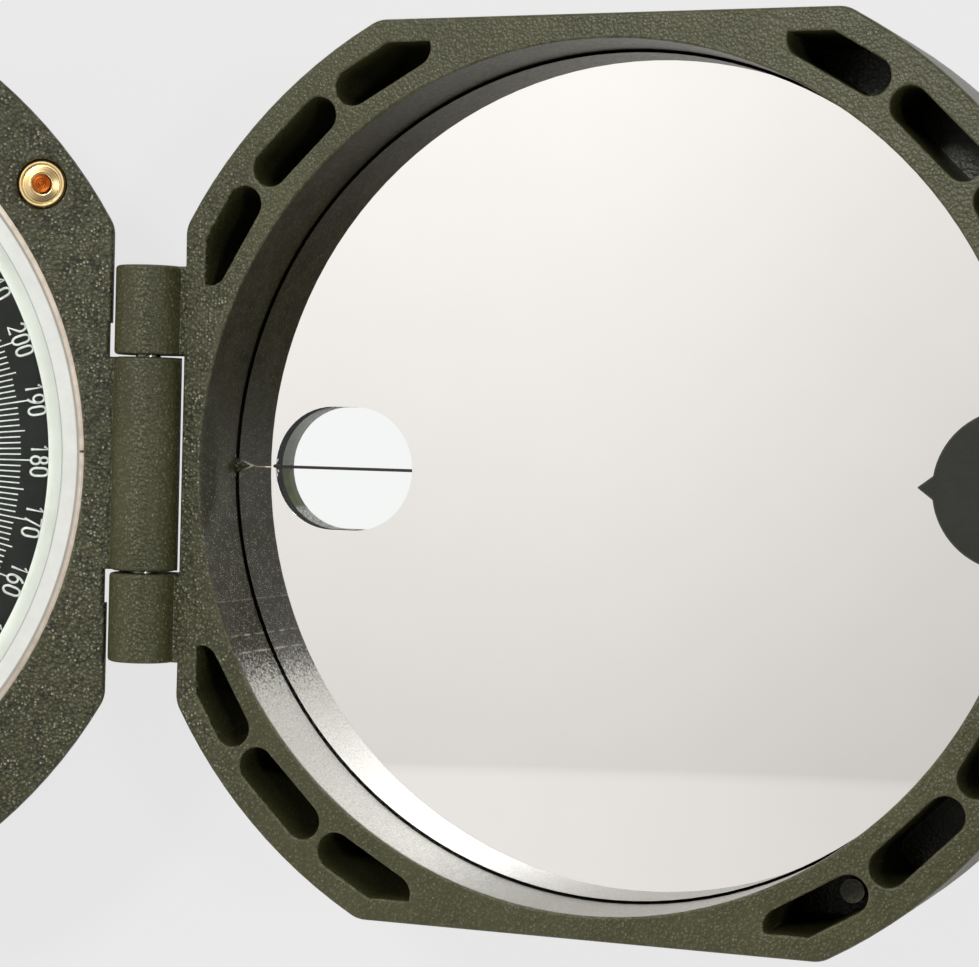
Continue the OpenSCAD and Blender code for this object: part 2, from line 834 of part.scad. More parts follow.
module needle_blade() {
    color(steel) rotate([0, 0, needle_turn]) translate([0, 0, blade_z]) linear_extrude(needle_t)
        difference() {
            polygon([[-needle_reach, 0], [0, -needle_half_w], [needle_reach, 0], [0, needle_half_w]]);
            circle(cap_boss_r + snug);
        }
}

module needle_weight() {
    half = needle_half_w * (1 - (weight_off - weight_l / 2) / needle_reach) + snug;
    mid_z = blade_z + needle_t / 2;
    color(copper) rotate([0, 0, needle_turn]) translate([-weight_off, 0, mid_z]) difference() {
        cube([weight_l, 2 * (half + weight_wall), needle_t + 2 * weight_wall], center = true);
        cube([weight_l + 2 * over, 2 * half, needle_t + 2 * snug], center = true);
    }
}

module lift_bush() {
    color(brass) at_lift() translate([lift_off, 0, 0]) difference() {
        union() {
            translate([0, 0, lift_slot_top]) cylinder(r = bush_r, h = bush_top - lift_slot_top);
            translate([0, 0, bush_top - bush_flange_h]) cylinder(r = bush_flange_r, h = bush_flange_h);
        }
        translate([0, 0, lift_slot_top - over]) cylinder(r = lift_bore_r, h = case_h);
    }
}

module lift_pin() {
    foot = lift_lever_top + lift_play / 2;
    color(copper) at_lift() translate([lift_off, 0, foot]) {
        cylinder(r = lift_foot_r, h = lift_foot_h);
        cylinder(r = lift_pin_r, h = lift_pin_top - foot);
    }
}

module lift_lever() {
    boss_r = bracket_pin_r + run_fit + lift_lever_t / 2;
    color(brass) at_lift() difference() {
        translate([0, 0, lift_lever_z]) union() {
            cylinder(r = lift_ring_r, h = lift_lever_t);
            translate([0, -lift_lever_w / 2, 0]) cube([lift_off, lift_lever_w, lift_lever_t]);
            translate([lift_off, 0, 0]) cylinder(r = lift_end_r, h = lift_lever_t);
            translate([fulcrum_off, 0, lift_lever_t / 2]) rod_y(boss_r, lift_lever_w);
        }
        translate([0, 0, lift_lever_z - over]) cylinder(r = lift_hole_r, h = lift_lever_t + 2 * over);
        translate([fulcrum_off, 0, lift_axis_z]) rod_y(bracket_pin_r + run_fit, lift_lever_w + 2 * over);
    }
}

module lift_bracket() {
    h = lift_axis_z + bracket_above - plate_top;
    gap_w = lift_lever_w + 2 * pass_gap;
    color(brass) at_lift() translate([fulcrum_off, 0, 0]) difference() {
        translate([-bracket_half_u, -bracket_half_v, plate_top])
            cube([2 * bracket_half_u, 2 * bracket_half_v, h]);
        translate([-bracket_half_u - over, -gap_w / 2, plate_top + bracket_base])
            cube([2 * (bracket_half_u + over), gap_w, h]);
        translate([0, 0, lift_axis_z]) rod_y(bracket_pin_r + snug, 2 * (bracket_half_v + over));
    }
}

module lift_bracket_pin() {
    color(steel) at_lift() translate([fulcrum_off, 0, lift_axis_z])
        rod_y(bracket_pin_r, 2 * bracket_half_v);
}

// Coil spring swept along a helix, six sides to the wire
module lift_spring() {
    low = spring_z + spring_wire_r;
    rise = lift_lever_z - spring_wire_r - low;
    n = spring_turns * spring_steps;
    points = [for (i = [0:n], j = [0:spring_sides - 1])
        let (a = 360 * i / spring_steps, b = 360 * j / spring_sides)
        let (r = spring_r + spring_wire_r * cos(b))
        [r * cos(a), r * sin(a), low + rise * i / n + spring_wire_r * sin(b)]];
    sides = [for (i = [0:n - 1], j = [0:spring_sides - 1])
        let (k = (j + 1) % spring_sides, p = i * spring_sides, q = p + spring_sides)
        [p + j, p + k, q + k, q + j]];
    last = n * spring_sides;
    ends = [[for (j = [spring_sides - 1:-1:0]) j], [for (j = [0:spring_sides - 1]) last + j]];
    first = [for (f = sides) [f[0], f[1], f[2]]];
    second = [for (f = sides) [f[0], f[2], f[3]]];
    color(steel) at_lift() translate([lift_off, 0, 0]) polyhedron(points, concat(first, second, ends));
}

// Slotted arm that folds over the glass; it lies below its axis when open
module long_sight_arm() {
    low = -arm_drop - arm_t;
    ear_y = arm_w / 2 - tip_ear_w / 2;
    plate_l = arm_l - tip_neck;
    slot_l = arm_l - arm_slot_start - arm_slot_end;
    color(olive) at_sight() difference() {
        union() {
            rod_y(sight_barrel_r, arm_w);
            translate([-sight_barrel_r, -arm_w / 2, low])
                cube([sight_barrel_r + sight_web_back, arm_w, -low]);
            translate([-plate_l, -arm_w / 2, low]) cube([plate_l, arm_w, arm_t]);
            for (side = [-1, 1]) translate([-arm_l, side * ear_y, low + arm_t / 2]) {
                rod_y(tip_barrel_r, tip_ear_w);
                translate([0, -tip_ear_w / 2, -arm_t / 2]) cube([2 * tip_neck, tip_ear_w, arm_t]);
            }
        }
        rod_y(sight_pin_r + run_fit, arm_w + 2 * over);
        translate([-arm_l, 0, low + arm_t / 2]) rod_y(tip_pin_r + snug, arm_w + 2 * over);
        translate([-arm_slot_start - slot_l / 2, 0, low - over]) linear_extrude(arm_t + 2 * over)
            oblong(slot_l, arm_slot_w);
    }
}

module long_sight_pin() {
    color(steel) at_sight() rod_y(sight_pin_r, arm_w + 2 * (sight_side_gap + sight_ear_w));
}

// Outline of the folding tip, pointing away from its hinge along -X
module tip_outline() {
    polygon([[-tip_neck, -arm_w / 2], [-tip_neck, arm_w / 2], [tip_nose - tip_l, arm_w / 2],
        [-tip_l, tip_nose_w / 2], [-tip_l, -tip_nose_w / 2], [tip_nose - tip_l, -arm_w / 2]]);
    translate([-tip_neck - over, -tip_half_w]) square([tip_neck + over, 2 * tip_half_w]);
}

module tip_sight() {
    color(olive) at_sight() translate([-arm_l, 0, -arm_drop - arm_t / 2]) difference() {
        union() {
            translate([0, 0, -tip_t / 2]) linear_extrude(tip_t) tip_outline();
            rod_y(tip_barrel_r, 2 * tip_half_w);
        }
        rod_y(tip_pin_r + run_fit, arm_w + 2 * over);
        translate([-peep_off, 0, -tip_t]) cylinder(r = peep_r, h = 2 * tip_t);
    }
}

module tip_sight_pin() {
    color(steel) at_sight() translate([-arm_l, 0, -arm_drop - arm_t / 2]) rod_y(tip_pin_r, arm_w);
}

// One pocket, cut off where it comes near the flats of the lid
module pocket(a) {
    translate([0, 0, -pocket_h]) linear_extrude(pocket_h + over) intersection() {
        rotate([0, 0, a]) translate([pocket_r, 0]) rotate([0, 0, 90]) oblong(pocket_l, pocket_w);
        square([case_w - 2 * pocket_wall, case_l - 2 * pocket_wall], center = true);
    }
}

// Window through the lid's back and its boss
module window_shape(extra) {
    translate([-window_off, 0]) oblong(window_l + 2 * extra, window_w + 2 * extra);
}

// Flare at the back of the window: cones at its ends and slopes between them
module window_back() {
    end_r = window_w / 2;
    wide_r = end_r + window_flare + over;
    reach = (window_l - window_w) / 2;
    flare_h = window_flare + over;
    translate([-window_off, 0, -lid_h - over]) {
        for (side = [-1, 1]) translate([side * reach, 0, 0]) cylinder(r1 = wide_r, r2 = end_r, h = flare_h);
        rotate([90, 0, 90]) linear_extrude(2 * reach, center = true)
            polygon([[-wide_r, 0], [wide_r, 0], [end_r, flare_h], [-end_r, flare_h]]);
    }
}

// Round cavity, mirror seat and the hollow behind the mirror
module lid_cavity() {
    translate([0, 0, ledge_face]) cylinder(r = cavity_r, h = lid_h);
    difference() {
        translate([0, 0, hollow_face]) cylinder(r = hollow_r, h = lid_h);
        translate([0, 0, -lid_h]) linear_extrude(lid_h + ledge_face) window_shape(window_wall);
    }
    translate([0, 0, -lid_h - over]) linear_extrude(lid_h) window_shape(0);
    window_back();
    translate([hollow_r, -leaf_r - notch_side, -notch_h])
        cube([cavity_r, 2 * (leaf_r + notch_side), notch_h + over]);
}

// Outer knuckles of the lid hinge
module lid_knuckles() {
    mid = (knuckle_mid + knuckle_end) / 2 + knuckle_gap;
    for (side = [-1, 1]) translate([-hinge_x, side * mid, seat_gap / 2]) {
        rod_y(knuckle_r, knuckle_end);
        translate([0, -knuckle_end / 2, -knuckle_r])
            cube([hinge_gap + over, knuckle_end, knuckle_r - seat_gap / 2]);
    }
}

// Two ears on the lid's far edge that carry the short sight
module lid_leaf_ears() {
    mid = (leaf_neck_w + leaf_ear_w) / 2 + sight_side_gap;
    for (side = [-1, 1]) at_leaf() translate([0, side * mid, 0]) {
        rod_y(leaf_ear_r, leaf_ear_w);
        translate([-leaf_gap, -leaf_ear_w / 2, -leaf_ear_h]) cube([leaf_gap, leaf_ear_w, leaf_ear_h]);
        translate([-leaf_gap - over, -leaf_ear_w / 2, -leaf_ear_h])
            cube([leaf_gap + over, leaf_ear_w, leaf_ear_h - leaf_t]);
    }
}

module lid_case() {
    color(olive) lid_frame() difference() {
        union() {
            difference() {
                translate([0, 0, -lid_h]) linear_extrude(lid_h) outline();
                lid_cavity();
                for (corner = [-1, 1], half = [0, 180], i = [-1:1])
                    pocket(half + corner * corner_angle + i * pocket_step);
            }
            translate([-cavity_r, 0, -mirror_sink]) linear_extrude(tab_t)
                polygon([[-over, -tab_w / 2], [tab_l, 0], [-over, tab_w / 2]]);
            rotate([0, 0, boss_pin_angle]) translate([pocket_r, 0, -pocket_h - over])
                cylinder(r = boss_pin_r, h = pocket_h + over - boss_pin_drop);
            lid_knuckles();
            lid_leaf_ears();
        }
        translate([-hinge_x, 0, seat_gap / 2]) rod_y(hinge_pin_r + run_fit, case_l);
        at_leaf() rod_y(leaf_pin_r + snug, case_l);
    }
}

module mirror_glass() {
    color("lightcyan", 0.35) lid_frame() translate([0, 0, ledge_face]) cylinder(r = mirror_r, h = mirror_t);
}

module mirror_silver() {
    color(steel) lid_frame() translate([0, 0, glass_face]) linear_extrude(silver_t) difference() {
        circle(mirror_r);
        window_shape(0);
    }
}

module mirror_pad() {
    h = ledge_face - hollow_face;
    color(black) lid_frame() translate([0, 0, hollow_face]) linear_extrude(h) difference() {
        circle(hollow_r - pad_gap);
        window_shape(window_wall + pad_gap);
    }
}

module sight_line() {
    color(black) lid_frame() translate([-window_off, 0, glass_face + line_t / 2])
        cube([window_l - 2 * run_fit, line_w, line_t], center = true);
}

// Round leaf with a point, folded over the mirror
module short_sight() {
    edge = case_w / 2 - leaf_edge_gap;
    color(black) lid_frame() difference() {
        union() {
            translate([0, 0, -leaf_sink - leaf_t / 2]) linear_extrude(leaf_t) {
                intersection() {
                    translate([leaf_off, 0]) circle(leaf_r);
                    translate([0, -leaf_r]) square([edge, 2 * leaf_r]);
                }
                polygon([[leaf_tip, 0], [leaf_off - leaf_r + over, -leaf_point_w / 2],
                    [leaf_off - leaf_r + over, leaf_point_w / 2]]);
                translate([edge - over, -leaf_neck_w / 2]) square([leaf_x - edge + over, leaf_neck_w]);
            }
            at_leaf() rod_y(leaf_barrel_r, leaf_neck_w);
        }
        at_leaf() rod_y(leaf_pin_r + run_fit, leaf_neck_w + 2 * over);
    }
}

module short_sight_pin() {
    color(steel) lid_frame() at_leaf() rod_y(leaf_pin_r, leaf_neck_w + 2 * (leaf_ear_w + sight_side_gap));
}

case_body();
hinge_pin();
crystal();
crystal_gasket();
snap_ring();
azimuth_ring();
ring_pinion();
clinometer_plate();
plate_screws();
clinometer_shaft();
vernier_arm();
vernier_plate();
level_holder();
level_vial();
level_spirit();
rear_lever();
lever_washer();
lever_screw();
round_level_cup();
round_level_glass();
round_level_spirit();
pivot_post();
needle_jewel();
needle_cap();
needle_blade();
needle_weight();
lift_bush();
lift_pin();
lift_lever();
lift_bracket();
lift_bracket_pin();
lift_spring();
long_sight_arm();
long_sight_pin();
tip_sight();
tip_sight_pin();
lid_case();
mirror_glass();
mirror_silver();
mirror_pad();
sight_line();
short_sight();
short_sight_pin();
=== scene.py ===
import math

import bpy
from mathutils import Matrix, Vector


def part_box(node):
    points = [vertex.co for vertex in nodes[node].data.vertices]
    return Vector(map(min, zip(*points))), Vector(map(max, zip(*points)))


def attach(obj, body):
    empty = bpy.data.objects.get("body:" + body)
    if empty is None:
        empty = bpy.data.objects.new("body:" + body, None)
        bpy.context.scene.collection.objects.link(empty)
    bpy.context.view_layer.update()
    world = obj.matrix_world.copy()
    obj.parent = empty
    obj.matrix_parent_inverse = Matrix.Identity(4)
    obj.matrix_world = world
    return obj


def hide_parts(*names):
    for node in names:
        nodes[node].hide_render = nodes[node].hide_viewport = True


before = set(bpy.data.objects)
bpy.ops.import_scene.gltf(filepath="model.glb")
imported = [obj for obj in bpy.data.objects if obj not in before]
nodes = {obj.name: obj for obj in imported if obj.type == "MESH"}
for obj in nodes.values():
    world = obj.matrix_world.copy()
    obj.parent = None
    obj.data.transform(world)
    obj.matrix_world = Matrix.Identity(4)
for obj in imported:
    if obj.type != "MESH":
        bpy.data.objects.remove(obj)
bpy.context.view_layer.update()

MM = 0.001
deg = math.radians


def mm(x, y, z):
    return Vector((x * MM, y * MM, z * MM))


def srgb(r, g, b):
    """A colour written 0 to 255, as the linear colour that a shader wants."""
    def line(c):
        c /= 255
        return c / 12.92 if c <= 0.04045 else ((c + 0.055) / 1.055) ** 2.4
    return (line(r), line(g), line(b), 1.0)


# Places taken from the construction, in millimetres
HINGE_X, HINGE_Z = 37.7, 20.1
LID_LIFT = 21
CLOSED_GAP = 0.1
CAVITY_R, TAB_L, TAB_W, TAB_TOP = 33.0, 1.7, 1.6, -6.4
GLASS_BACK, GLASS_FRONT = -8.62, -6.8
GASKET_IN, SNAP_IN = 30.8, 32.3
NEEDLE_TURN = 62
lid_place = (Matrix.Translation(mm(HINGE_X, 0, HINGE_Z)) @ Matrix.Rotation(deg(-LID_LIFT), 4, "Y")
             @ Matrix.Translation(mm(HINGE_X, 0, -CLOSED_GAP)))
case_place = Matrix.Identity(4)

# Camera over the lid, found from the lid's outline
LENS, SENSOR = 104.65, 36.0
ROLL, TILT, YAW = -1.89, -21.1, 1.25
LID_FROM_CAMERA = mm(7.75, 0.41, -213.79)
turn = (Matrix.Rotation(deg(ROLL), 4, "Z") @ Matrix.Rotation(deg(TILT), 4, "Y")
        @ Matrix.Rotation(deg(YAW), 4, "X"))
shift = Matrix.Translation(-LID_FROM_CAMERA)
camera_data = bpy.data.cameras.new("camera")
camera_data.lens, camera_data.sensor_width, camera_data.sensor_fit = LENS, SENSOR, "HORIZONTAL"
camera_data.clip_start = 0.01
camera = bpy.data.objects.new("camera", camera_data)
camera.matrix_world = lid_place @ turn.inverted() @ shift
bpy.context.scene.collection.objects.link(camera)
bpy.context.scene.camera = camera


# Small helpers for pieces
def start():
    if bpy.context.object and bpy.context.object.mode != "OBJECT":
        bpy.ops.object.mode_set(mode="OBJECT")
    bpy.ops.object.select_all(action="DESELECT")


def pick(piece):
    start()
    piece.select_set(True)
    bpy.context.view_layer.objects.active = piece


def settle(piece, name=None, material=None):
    """Puts a piece's place in its mesh, and names and dresses it."""
    pick(piece)
    bpy.ops.object.transform_apply(location=True, rotation=True, scale=True)
    if name:
        piece.name = name
        piece.data.name = name
    if material:
        piece.data.materials.clear()
        piece.data.materials.append(material)
    return piece


def place(piece, matrix):
    piece.data.transform(matrix)
    piece.data.update()
    return piece


def edit(piece):
    pick(piece)
    bpy.ops.object.mode_set(mode="EDIT")
    bpy.ops.mesh.select_mode(type="FACE")
    bpy.ops.mesh.select_all(action="SELECT")


def done():
    bpy.ops.object.mode_set(mode="OBJECT")


# Degrees between two faces: rounded from SHARP on, shaded smooth below SMOOTH, one face below FLAT
SHARP, SMOOTH, LATHE_SMOOTH, FLAT = 35, 50, 24, 0.6
# Millimetres within which two corners are one
WELD = 0.002


def mark_edges(piece, where, share):
    """Marks the edges to be rounded: those that stand out. share gives an edge's part of the full width from
    the place of its middle, in millimetres in the piece's own frame."""
    mesh = piece.data
    sides = {}
    for face in mesh.polygons:
        for i in face.loop_indices:
            sides.setdefault(mesh.loops[i].edge_index, []).append((face, mesh.loops[i].vertex_index))
    back = where.inverted()
    weights = mesh.attributes.new("bevel_weight_edge", "FLOAT", "EDGE")
    for edge in mesh.edges:
        pair = sides.get(edge.index, [])
        if len(pair) != 2:
            continue
        (one, first), (two, _) = pair
        if one.normal.angle(two.normal, 0) < deg(SHARP):
            continue
        ends = list(edge.vertices)
        last = ends[1] if ends[0] == first else ends[0]
        a, b = mesh.vertices[first].co, mesh.vertices[last].co
        if two.normal.dot(one.normal.cross(b - a)) < 0:
            weights.data[edge.index].value = share(*(back @ ((a + b) / 2) / MM))


def finish_bevel(piece, width):
    """Rounds the marked edges by width millimetres."""
    pick(piece)
    bevel = piece.modifiers.new("rounding", "BEVEL")
    bevel.width, bevel.segments = width * MM, 2
    bevel.limit_method = "WEIGHT"
    bevel.use_clamp_overlap = False
    bpy.ops.object.modifier_apply(modifier="rounding")
    bpy.ops.object.shade_smooth_by_angle(angle=deg(SMOOTH))
    weights = piece.modifiers.new("even", "WEIGHTED_NORMAL")
    weights.keep_sharp = True
    bpy.ops.object.modifier_apply(modifier="even")


def take(node, name, material, body, bevel, where, share):
    """A rounded copy of a construction node, which it stands for. It stays inside the node's own box."""
    piece = bpy.data.objects.new(name, nodes[node].data.copy())
    bpy.context.scene.collection.objects.link(piece)
    edit(piece)
    bpy.ops.mesh.customdata_custom_splitnormals_clear()
    bpy.ops.mesh.remove_doubles(threshold=WELD * MM)
    bpy.ops.mesh.dissolve_limited(angle_limit=deg(FLAT))
    done()
    points = [v.co.copy() for v in piece.data.vertices]
    sides = [(min(co[i] for co in points), max(co[i] for co in points)) for i in range(3)]
    mark_edges(piece, where, share)
    finish_bevel(piece, bevel)
    for v in piece.data.vertices:
        v.co = [min(max(v.co[i], sides[i][0]), sides[i][1]) for i in range(3)]
    piece.data.materials.clear()
    piece.data.materials.append(material)
    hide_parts(node)
    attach(piece, body)


def join(pieces, name):
    start()
    for p in pieces:
        p.select_set(True)
    bpy.context.view_layer.objects.active = pieces[0]
    bpy.ops.object.join()
    pieces[0].name = name
    return pieces[0]


# Small helpers for finishes
class Finish:
    """A node tree that is written one node at a time."""

    def __init__(self, name, where=None):
        self.material = bpy.data.materials.new(name)
        self.material.use_nodes = True
        self.tree = self.material.node_tree
        self.tree.nodes.clear()
        self.out = self.node("ShaderNodeOutputMaterial")
        self.shader = self.node("ShaderNodeBsdfPrincipled")
        self.link(self.shader.outputs["BSDF"], self.out.inputs["Surface"])
        coordinate = self.node("ShaderNodeTexCoord")
        mapping = self.node("ShaderNodeMapping")
        mapping.vector_type = "TEXTURE"
        if where is not None:
            mapping.inputs["Location"].default_value = where.to_translation()
            mapping.inputs["Rotation"].default_value = where.to_euler()
        self.link(coordinate.outputs["Object"], mapping.inputs["Vector"])
        self.place = mapping.outputs["Vector"]

    def node(self, kind, **values):
        node = self.tree.nodes.new(kind)
        for key, value in values.items():
            setattr(node, key, value)
        return node

    def link(self, source, target):
        self.tree.links.new(source, target)

    def set(self, **values):
        for key, value in values.items():
            self.shader.inputs[key.replace("_", " ")].default_value = value

    def wire(self, value, node, socket):
        if isinstance(value, bpy.types.NodeSocket):
            self.link(value, node.inputs[socket])
        else:
            node.inputs[socket].default_value = value

    def noise(self, size, detail=3, rough=0.6, place=None):
        """Cloudy noise whose grains are about size millimetres across."""
        n = self.node("ShaderNodeTexNoise")
        n.inputs["Scale"].default_value = 1 / (size * MM)
        n.inputs["Detail"].default_value = detail
        n.inputs["Roughness"].default_value = rough
        self.wire(place or self.place, n, "Vector")
        return n.outputs["Fac"]

    def rings(self, pitch):
        """Fine rings round the axis, about pitch millimetres apart."""
        n = self.node("ShaderNodeTexNoise", noise_dimensions="1D")
        n.inputs["Scale"].default_value = 1 / (pitch * MM)
        n.inputs["Detail"].default_value = 3
        self.wire(self.radius(), n, "W")
        return n.outputs["Fac"]

    def cells(self, size, out="Distance", place=None):
        """Cells about size millimetres across."""
        n = self.node("ShaderNodeTexVoronoi")
        n.inputs["Scale"].default_value = 1 / (size * MM)
        self.wire(place or self.place, n, "Vector")
        return n.outputs[out]

    def ruffle(self, size, amount):
        """The place, moved about by up to amount millimetres, so that cells lose their straight sides."""
        cloud = self.node("ShaderNodeTexNoise")
        cloud.inputs["Scale"].default_value = 1 / (size * MM)
        self.wire(self.place, cloud, "Vector")
        n = self.node("ShaderNodeVectorMath", operation="MULTIPLY_ADD")
        self.wire(cloud.outputs["Color"], n, 0)
        n.inputs[1].default_value = (amount * MM,) * 3
        self.wire(self.place, n, 2)
        return n.outputs[0]

    def math(self, kind, a, b=0.0):
        n = self.node("ShaderNodeMath", operation=kind)
        self.wire(a, n, 0)
        self.wire(b, n, 1)
        return n.outputs[0]

    def times(self, product, *others):
        for other in others:
            product = self.math("MULTIPLY", product, other)
        return product

    def span(self, value, low, high, to_low=0.0, to_high=1.0):
        """Runs from to_low to to_high while the value runs from low to high."""
        n = self.node("ShaderNodeMapRange")
        self.wire(value, n, "Value")
        for key, v in (("From Min", low), ("From Max", high), ("To Min", to_low), ("To Max", to_high)):
            n.inputs[key].default_value = v
        return n.outputs[0]

    def fade(self, value, low, high, to_low=0.0, to_high=1.0):
        """The same for a length, with its two ends in millimetres."""
        return self.span(value, low * MM, high * MM, to_low, to_high)

    def mix(self, share, a, b):
        n = self.node("ShaderNodeMix", data_type="RGBA")
        self.wire(share, n, 0)
        self.wire(a, n, 6)
        self.wire(b, n, 7)
        return n.outputs[2]

    def cloudy(self, cloud, a, b):
        """Two colours, mixed as a cloudy noise goes."""
        return self.mix(self.span(cloud, 0.3, 0.7), a, b)

    def between(self, share, a, b):
        n = self.node("ShaderNodeMix", data_type="FLOAT")
        self.wire(share, n, 0)
        self.wire(a, n, 2)
        self.wire(b, n, 3)
        return n.outputs[0]

    def colour(self, value):
        self.wire(value, self.shader, "Base Color")

    def rough(self, value):
        self.wire(value, self.shader, "Roughness")

    def metal(self, value):
        self.wire(value, self.shader, "Metallic")

    def bump(self, height, depth, strength=1.0):
        """Height from 0 to 1 raises the surface by depth millimetres."""
        n = self.node("ShaderNodeBump")
        n.inputs["Strength"].default_value = strength
        n.inputs["Distance"].default_value = depth * MM
        self.wire(height, n, "Height")
        self.wire(n.outputs[0], self.shader, "Normal")

    def axes(self):
        n = self.node("ShaderNodeSeparateXYZ")
        self.wire(self.place, n, 0)
        return n.outputs[0], n.outputs[1], n.outputs[2]

    def hypot(self, a, b):
        return self.math("SQRT", self.math("ADD", self.times(a, a), self.times(b, b)))

    def radius(self):
        x, y, _ = self.axes()
        return self.hypot(x, y)

    def stretch(self, sx, sy, sz):
        n = self.node("ShaderNodeMapping")
        n.inputs["Scale"].default_value = (sx, sy, sz)
        self.wire(self.place, n, "Vector")
        return n.outputs[0]

    def edges(self, width):
        """Near 1 along edges, 0 on flats."""
        bevel = self.node("ShaderNodeBevel", samples=2)
        bevel.inputs["Radius"].default_value = width * MM
        geometry = self.node("ShaderNodeNewGeometry")
        dot = self.node("ShaderNodeVectorMath", operation="DOT_PRODUCT")
        self.wire(bevel.outputs[0], dot, 0)
        self.wire(geometry.outputs["Normal"], dot, 1)
        return self.span(dot.outputs["Value"], 0.995, 0.86)


def near_axis(f, x, z, radius):
    """1 within radius millimetres of a line along y, 0 outside."""
    px, _, pz = f.axes()
    away = f.hypot(f.math("SUBTRACT", px, x * MM), f.math("SUBTRACT", pz, z * MM))
    return f.fade(away, radius + 0.03, radius - 0.03)


OLIVE_DEEP, OLIVE_PALE, OLIVE_SHADED = srgb(62, 62, 34), srgb(72, 72, 44), srgb(16, 16, 8)
VALLEY_SHADE, PEBBLE_TOP_LIT, PAINTED_GLINT = srgb(24, 24, 8), srgb(126, 127, 98), srgb(222, 222, 200)
WORN_EDGE = srgb(140, 141, 120)
ENAMEL_SHINE, ENAMEL_DEPTH = 0.4, 0.1
KNUCKLE_R, KNUCKLE_CALM = 2.75, 0.22


def enamel(name, where, grain, hinge=None, lid=False):
    """Olive wrinkle enamel over a casting: pebbles with painted shade in their valleys, painted light and
    glints on their tops, and calmer patches.
    The knuckles have a calmer grain, and the lid's cavity has its own finish."""
    f = Finish(name, where)
    loose = f.ruffle(grain * 1.1, grain * 0.5)
    pebbles = f.cells(grain, place=loose)
    chance = f.node("ShaderNodeSeparateColor")
    f.wire(f.cells(grain, "Color", loose), chance, 0)
    fine = f.noise(grain * 0.45, 3, 0.7)
    patches = f.span(f.noise(grain * 7, 3, 0.6), 0.4, 0.6, 0.3, 1.0)
    broad = f.noise(grain * 24, 3, 0.55)
    calm = patches
    side, _, depth = f.axes()
    if lid:
        # The lid's rim is coarse beside the hinge and nearly smooth from there on, and its painted shade and
        # glints fade out with it. Its sides are calmer yet
        calm = f.times(calm, f.fade(side, -34, -27, 0.95, 0.17), f.fade(depth, -0.6, -0.3, 0.25, 1.0))
        back = f.fade(depth, -12.0, -12.5)
        calm = f.between(back, calm, f.times(patches, 0.6))
    if hinge:
        knuckle = near_axis(f, hinge[0], hinge[1], KNUCKLE_R)
        calm = f.between(knuckle, calm, KNUCKLE_CALM)
    olive = f.cloudy(broad, OLIVE_DEEP, OLIVE_PALE)
    # Painted shade in the valleys between the pebbles
    valley_shade = f.times(f.span(pebbles, 0.42, 0.66), calm)
    olive = f.mix(f.times(valley_shade, 0.9), olive, VALLEY_SHADE)
    # Painted light on the pebbles' tops, and painted glints on some of them
    top = f.times(f.span(pebbles, 0.44, 0.12), f.span(fine, 0.42, 0.56, 0.1, 1.0))
    lucky = f.span(chance.outputs[0], 0.35, 1.0, 0.0, 1.1)
    painted_glint = f.times(top, lucky, calm)
    olive = f.mix(f.times(top, 0.3), olive, PEBBLE_TOP_LIT)
    olive = f.mix(painted_glint, olive, PAINTED_GLINT)
    if lid:
        # Painted shade: the olive darkens further below the rim
        olive = f.mix(f.fade(depth, -0.5, -2.5, 0.0, 0.45), olive, OLIVE_SHADED)
    worn = f.times(f.edges(0.25), f.span(f.noise(grain * 3, 4, 0.7), 0.42, 0.6, 0.0, 0.6))
    olive = f.mix(worn, olive, WORN_EDGE)
    rough = f.span(fine, 0.3, 0.7, 0.22, 0.4)
    height = f.math("ADD", f.times(pebbles, -1.0), f.times(fine, 0.5))
    height = f.times(height, f.span(calm, 0, 1, 0.35, 1.0))
    shine = ENAMEL_SHINE
    if lid:
        inside, colour, wall_rough, wall_height, wall_shine = cavity(f)
        olive = f.mix(inside, olive, colour)
        rough = f.between(inside, rough, wall_rough)
        height = f.between(inside, height, wall_height)
        shine = f.between(inside, shine, wall_shine)
    f.colour(olive)
    f.rough(rough)
    f.bump(height, ENAMEL_DEPTH)
    f.wire(shine, f.shader, "Specular IOR Level")
    return f.material


# The lid's cavity in the lid's own frame, in millimetres: x towards the latch, y across, level below the rim
CAVITY_SIDE, CAVITY_TOP, CAVITY_FLOOR = (33.35, 33.2), (-0.05, -0.3), (-10.94, -10.9)
CROSS_LINES = ((-10.8, 0.2), (-13.5, 0.5), (-14.8, 0.6))
BORE_HALF_W, BORE_NEAR, BORE_FAR = 5.2, -30.1, -17.4


def cavity(f):
    """The lid's cavity: where it is, and its colour, roughness, height and shine."""
    x, y, level = f.axes()
    inside = f.times(f.fade(f.radius(), *CAVITY_SIDE), f.fade(level, *CAVITY_TOP),
                     f.fade(level, *CAVITY_FLOOR))
    colour, rubbed_highlight = turned_wall(f, x, y)
    colour = f.mix(f.times(tab_edges(f, x, y, level), 0.9), colour, srgb(190, 188, 168))
    bore, bore_colour = window_bore(f, x, y, level)
    colour = f.mix(bore, colour, bore_colour)
    # The seat under the glass, round the window, is black
    seat = f.times(f.fade(level, GLASS_BACK - 0.09, GLASS_BACK - 0.04),
                   f.fade(level, GLASS_BACK + 0.3, GLASS_BACK + 0.2), f.fade(f.radius(), 32.4, 32.2))
    colour = f.mix(seat, colour, srgb(10, 10, 9))
    # Painted shade: a dark line where the wall meets the glass
    foot = f.times(f.fade(level, GLASS_FRONT + 0.34, GLASS_FRONT + 0.26), f.fade(f.radius(), 32.7, 32.8))
    foot_shade = f.times(foot, f.span(f.noise(0.3, 3, 0.7), 0.3, 0.5, 0.75, 1.0))
    colour = f.mix(foot_shade, colour, srgb(8, 8, 6))
    painted_rough = f.span(f.noise(0.4, 3, 0.7), 0.3, 0.7, 0.29, 0.41)
    bare_rough = f.span(f.noise(0.2, 3, 0.8), 0.35, 0.65, 0.35, 0.52)
    rough = f.between(rubbed_highlight, painted_rough, bare_rough)
    height = f.times(f.noise(0.17, 2, 0.7), 0.3)
    shine = f.between(foot, f.fade(y, -6, -16, 0.22, 0.95), 0.05)
    return inside, colour, rough, height, shine


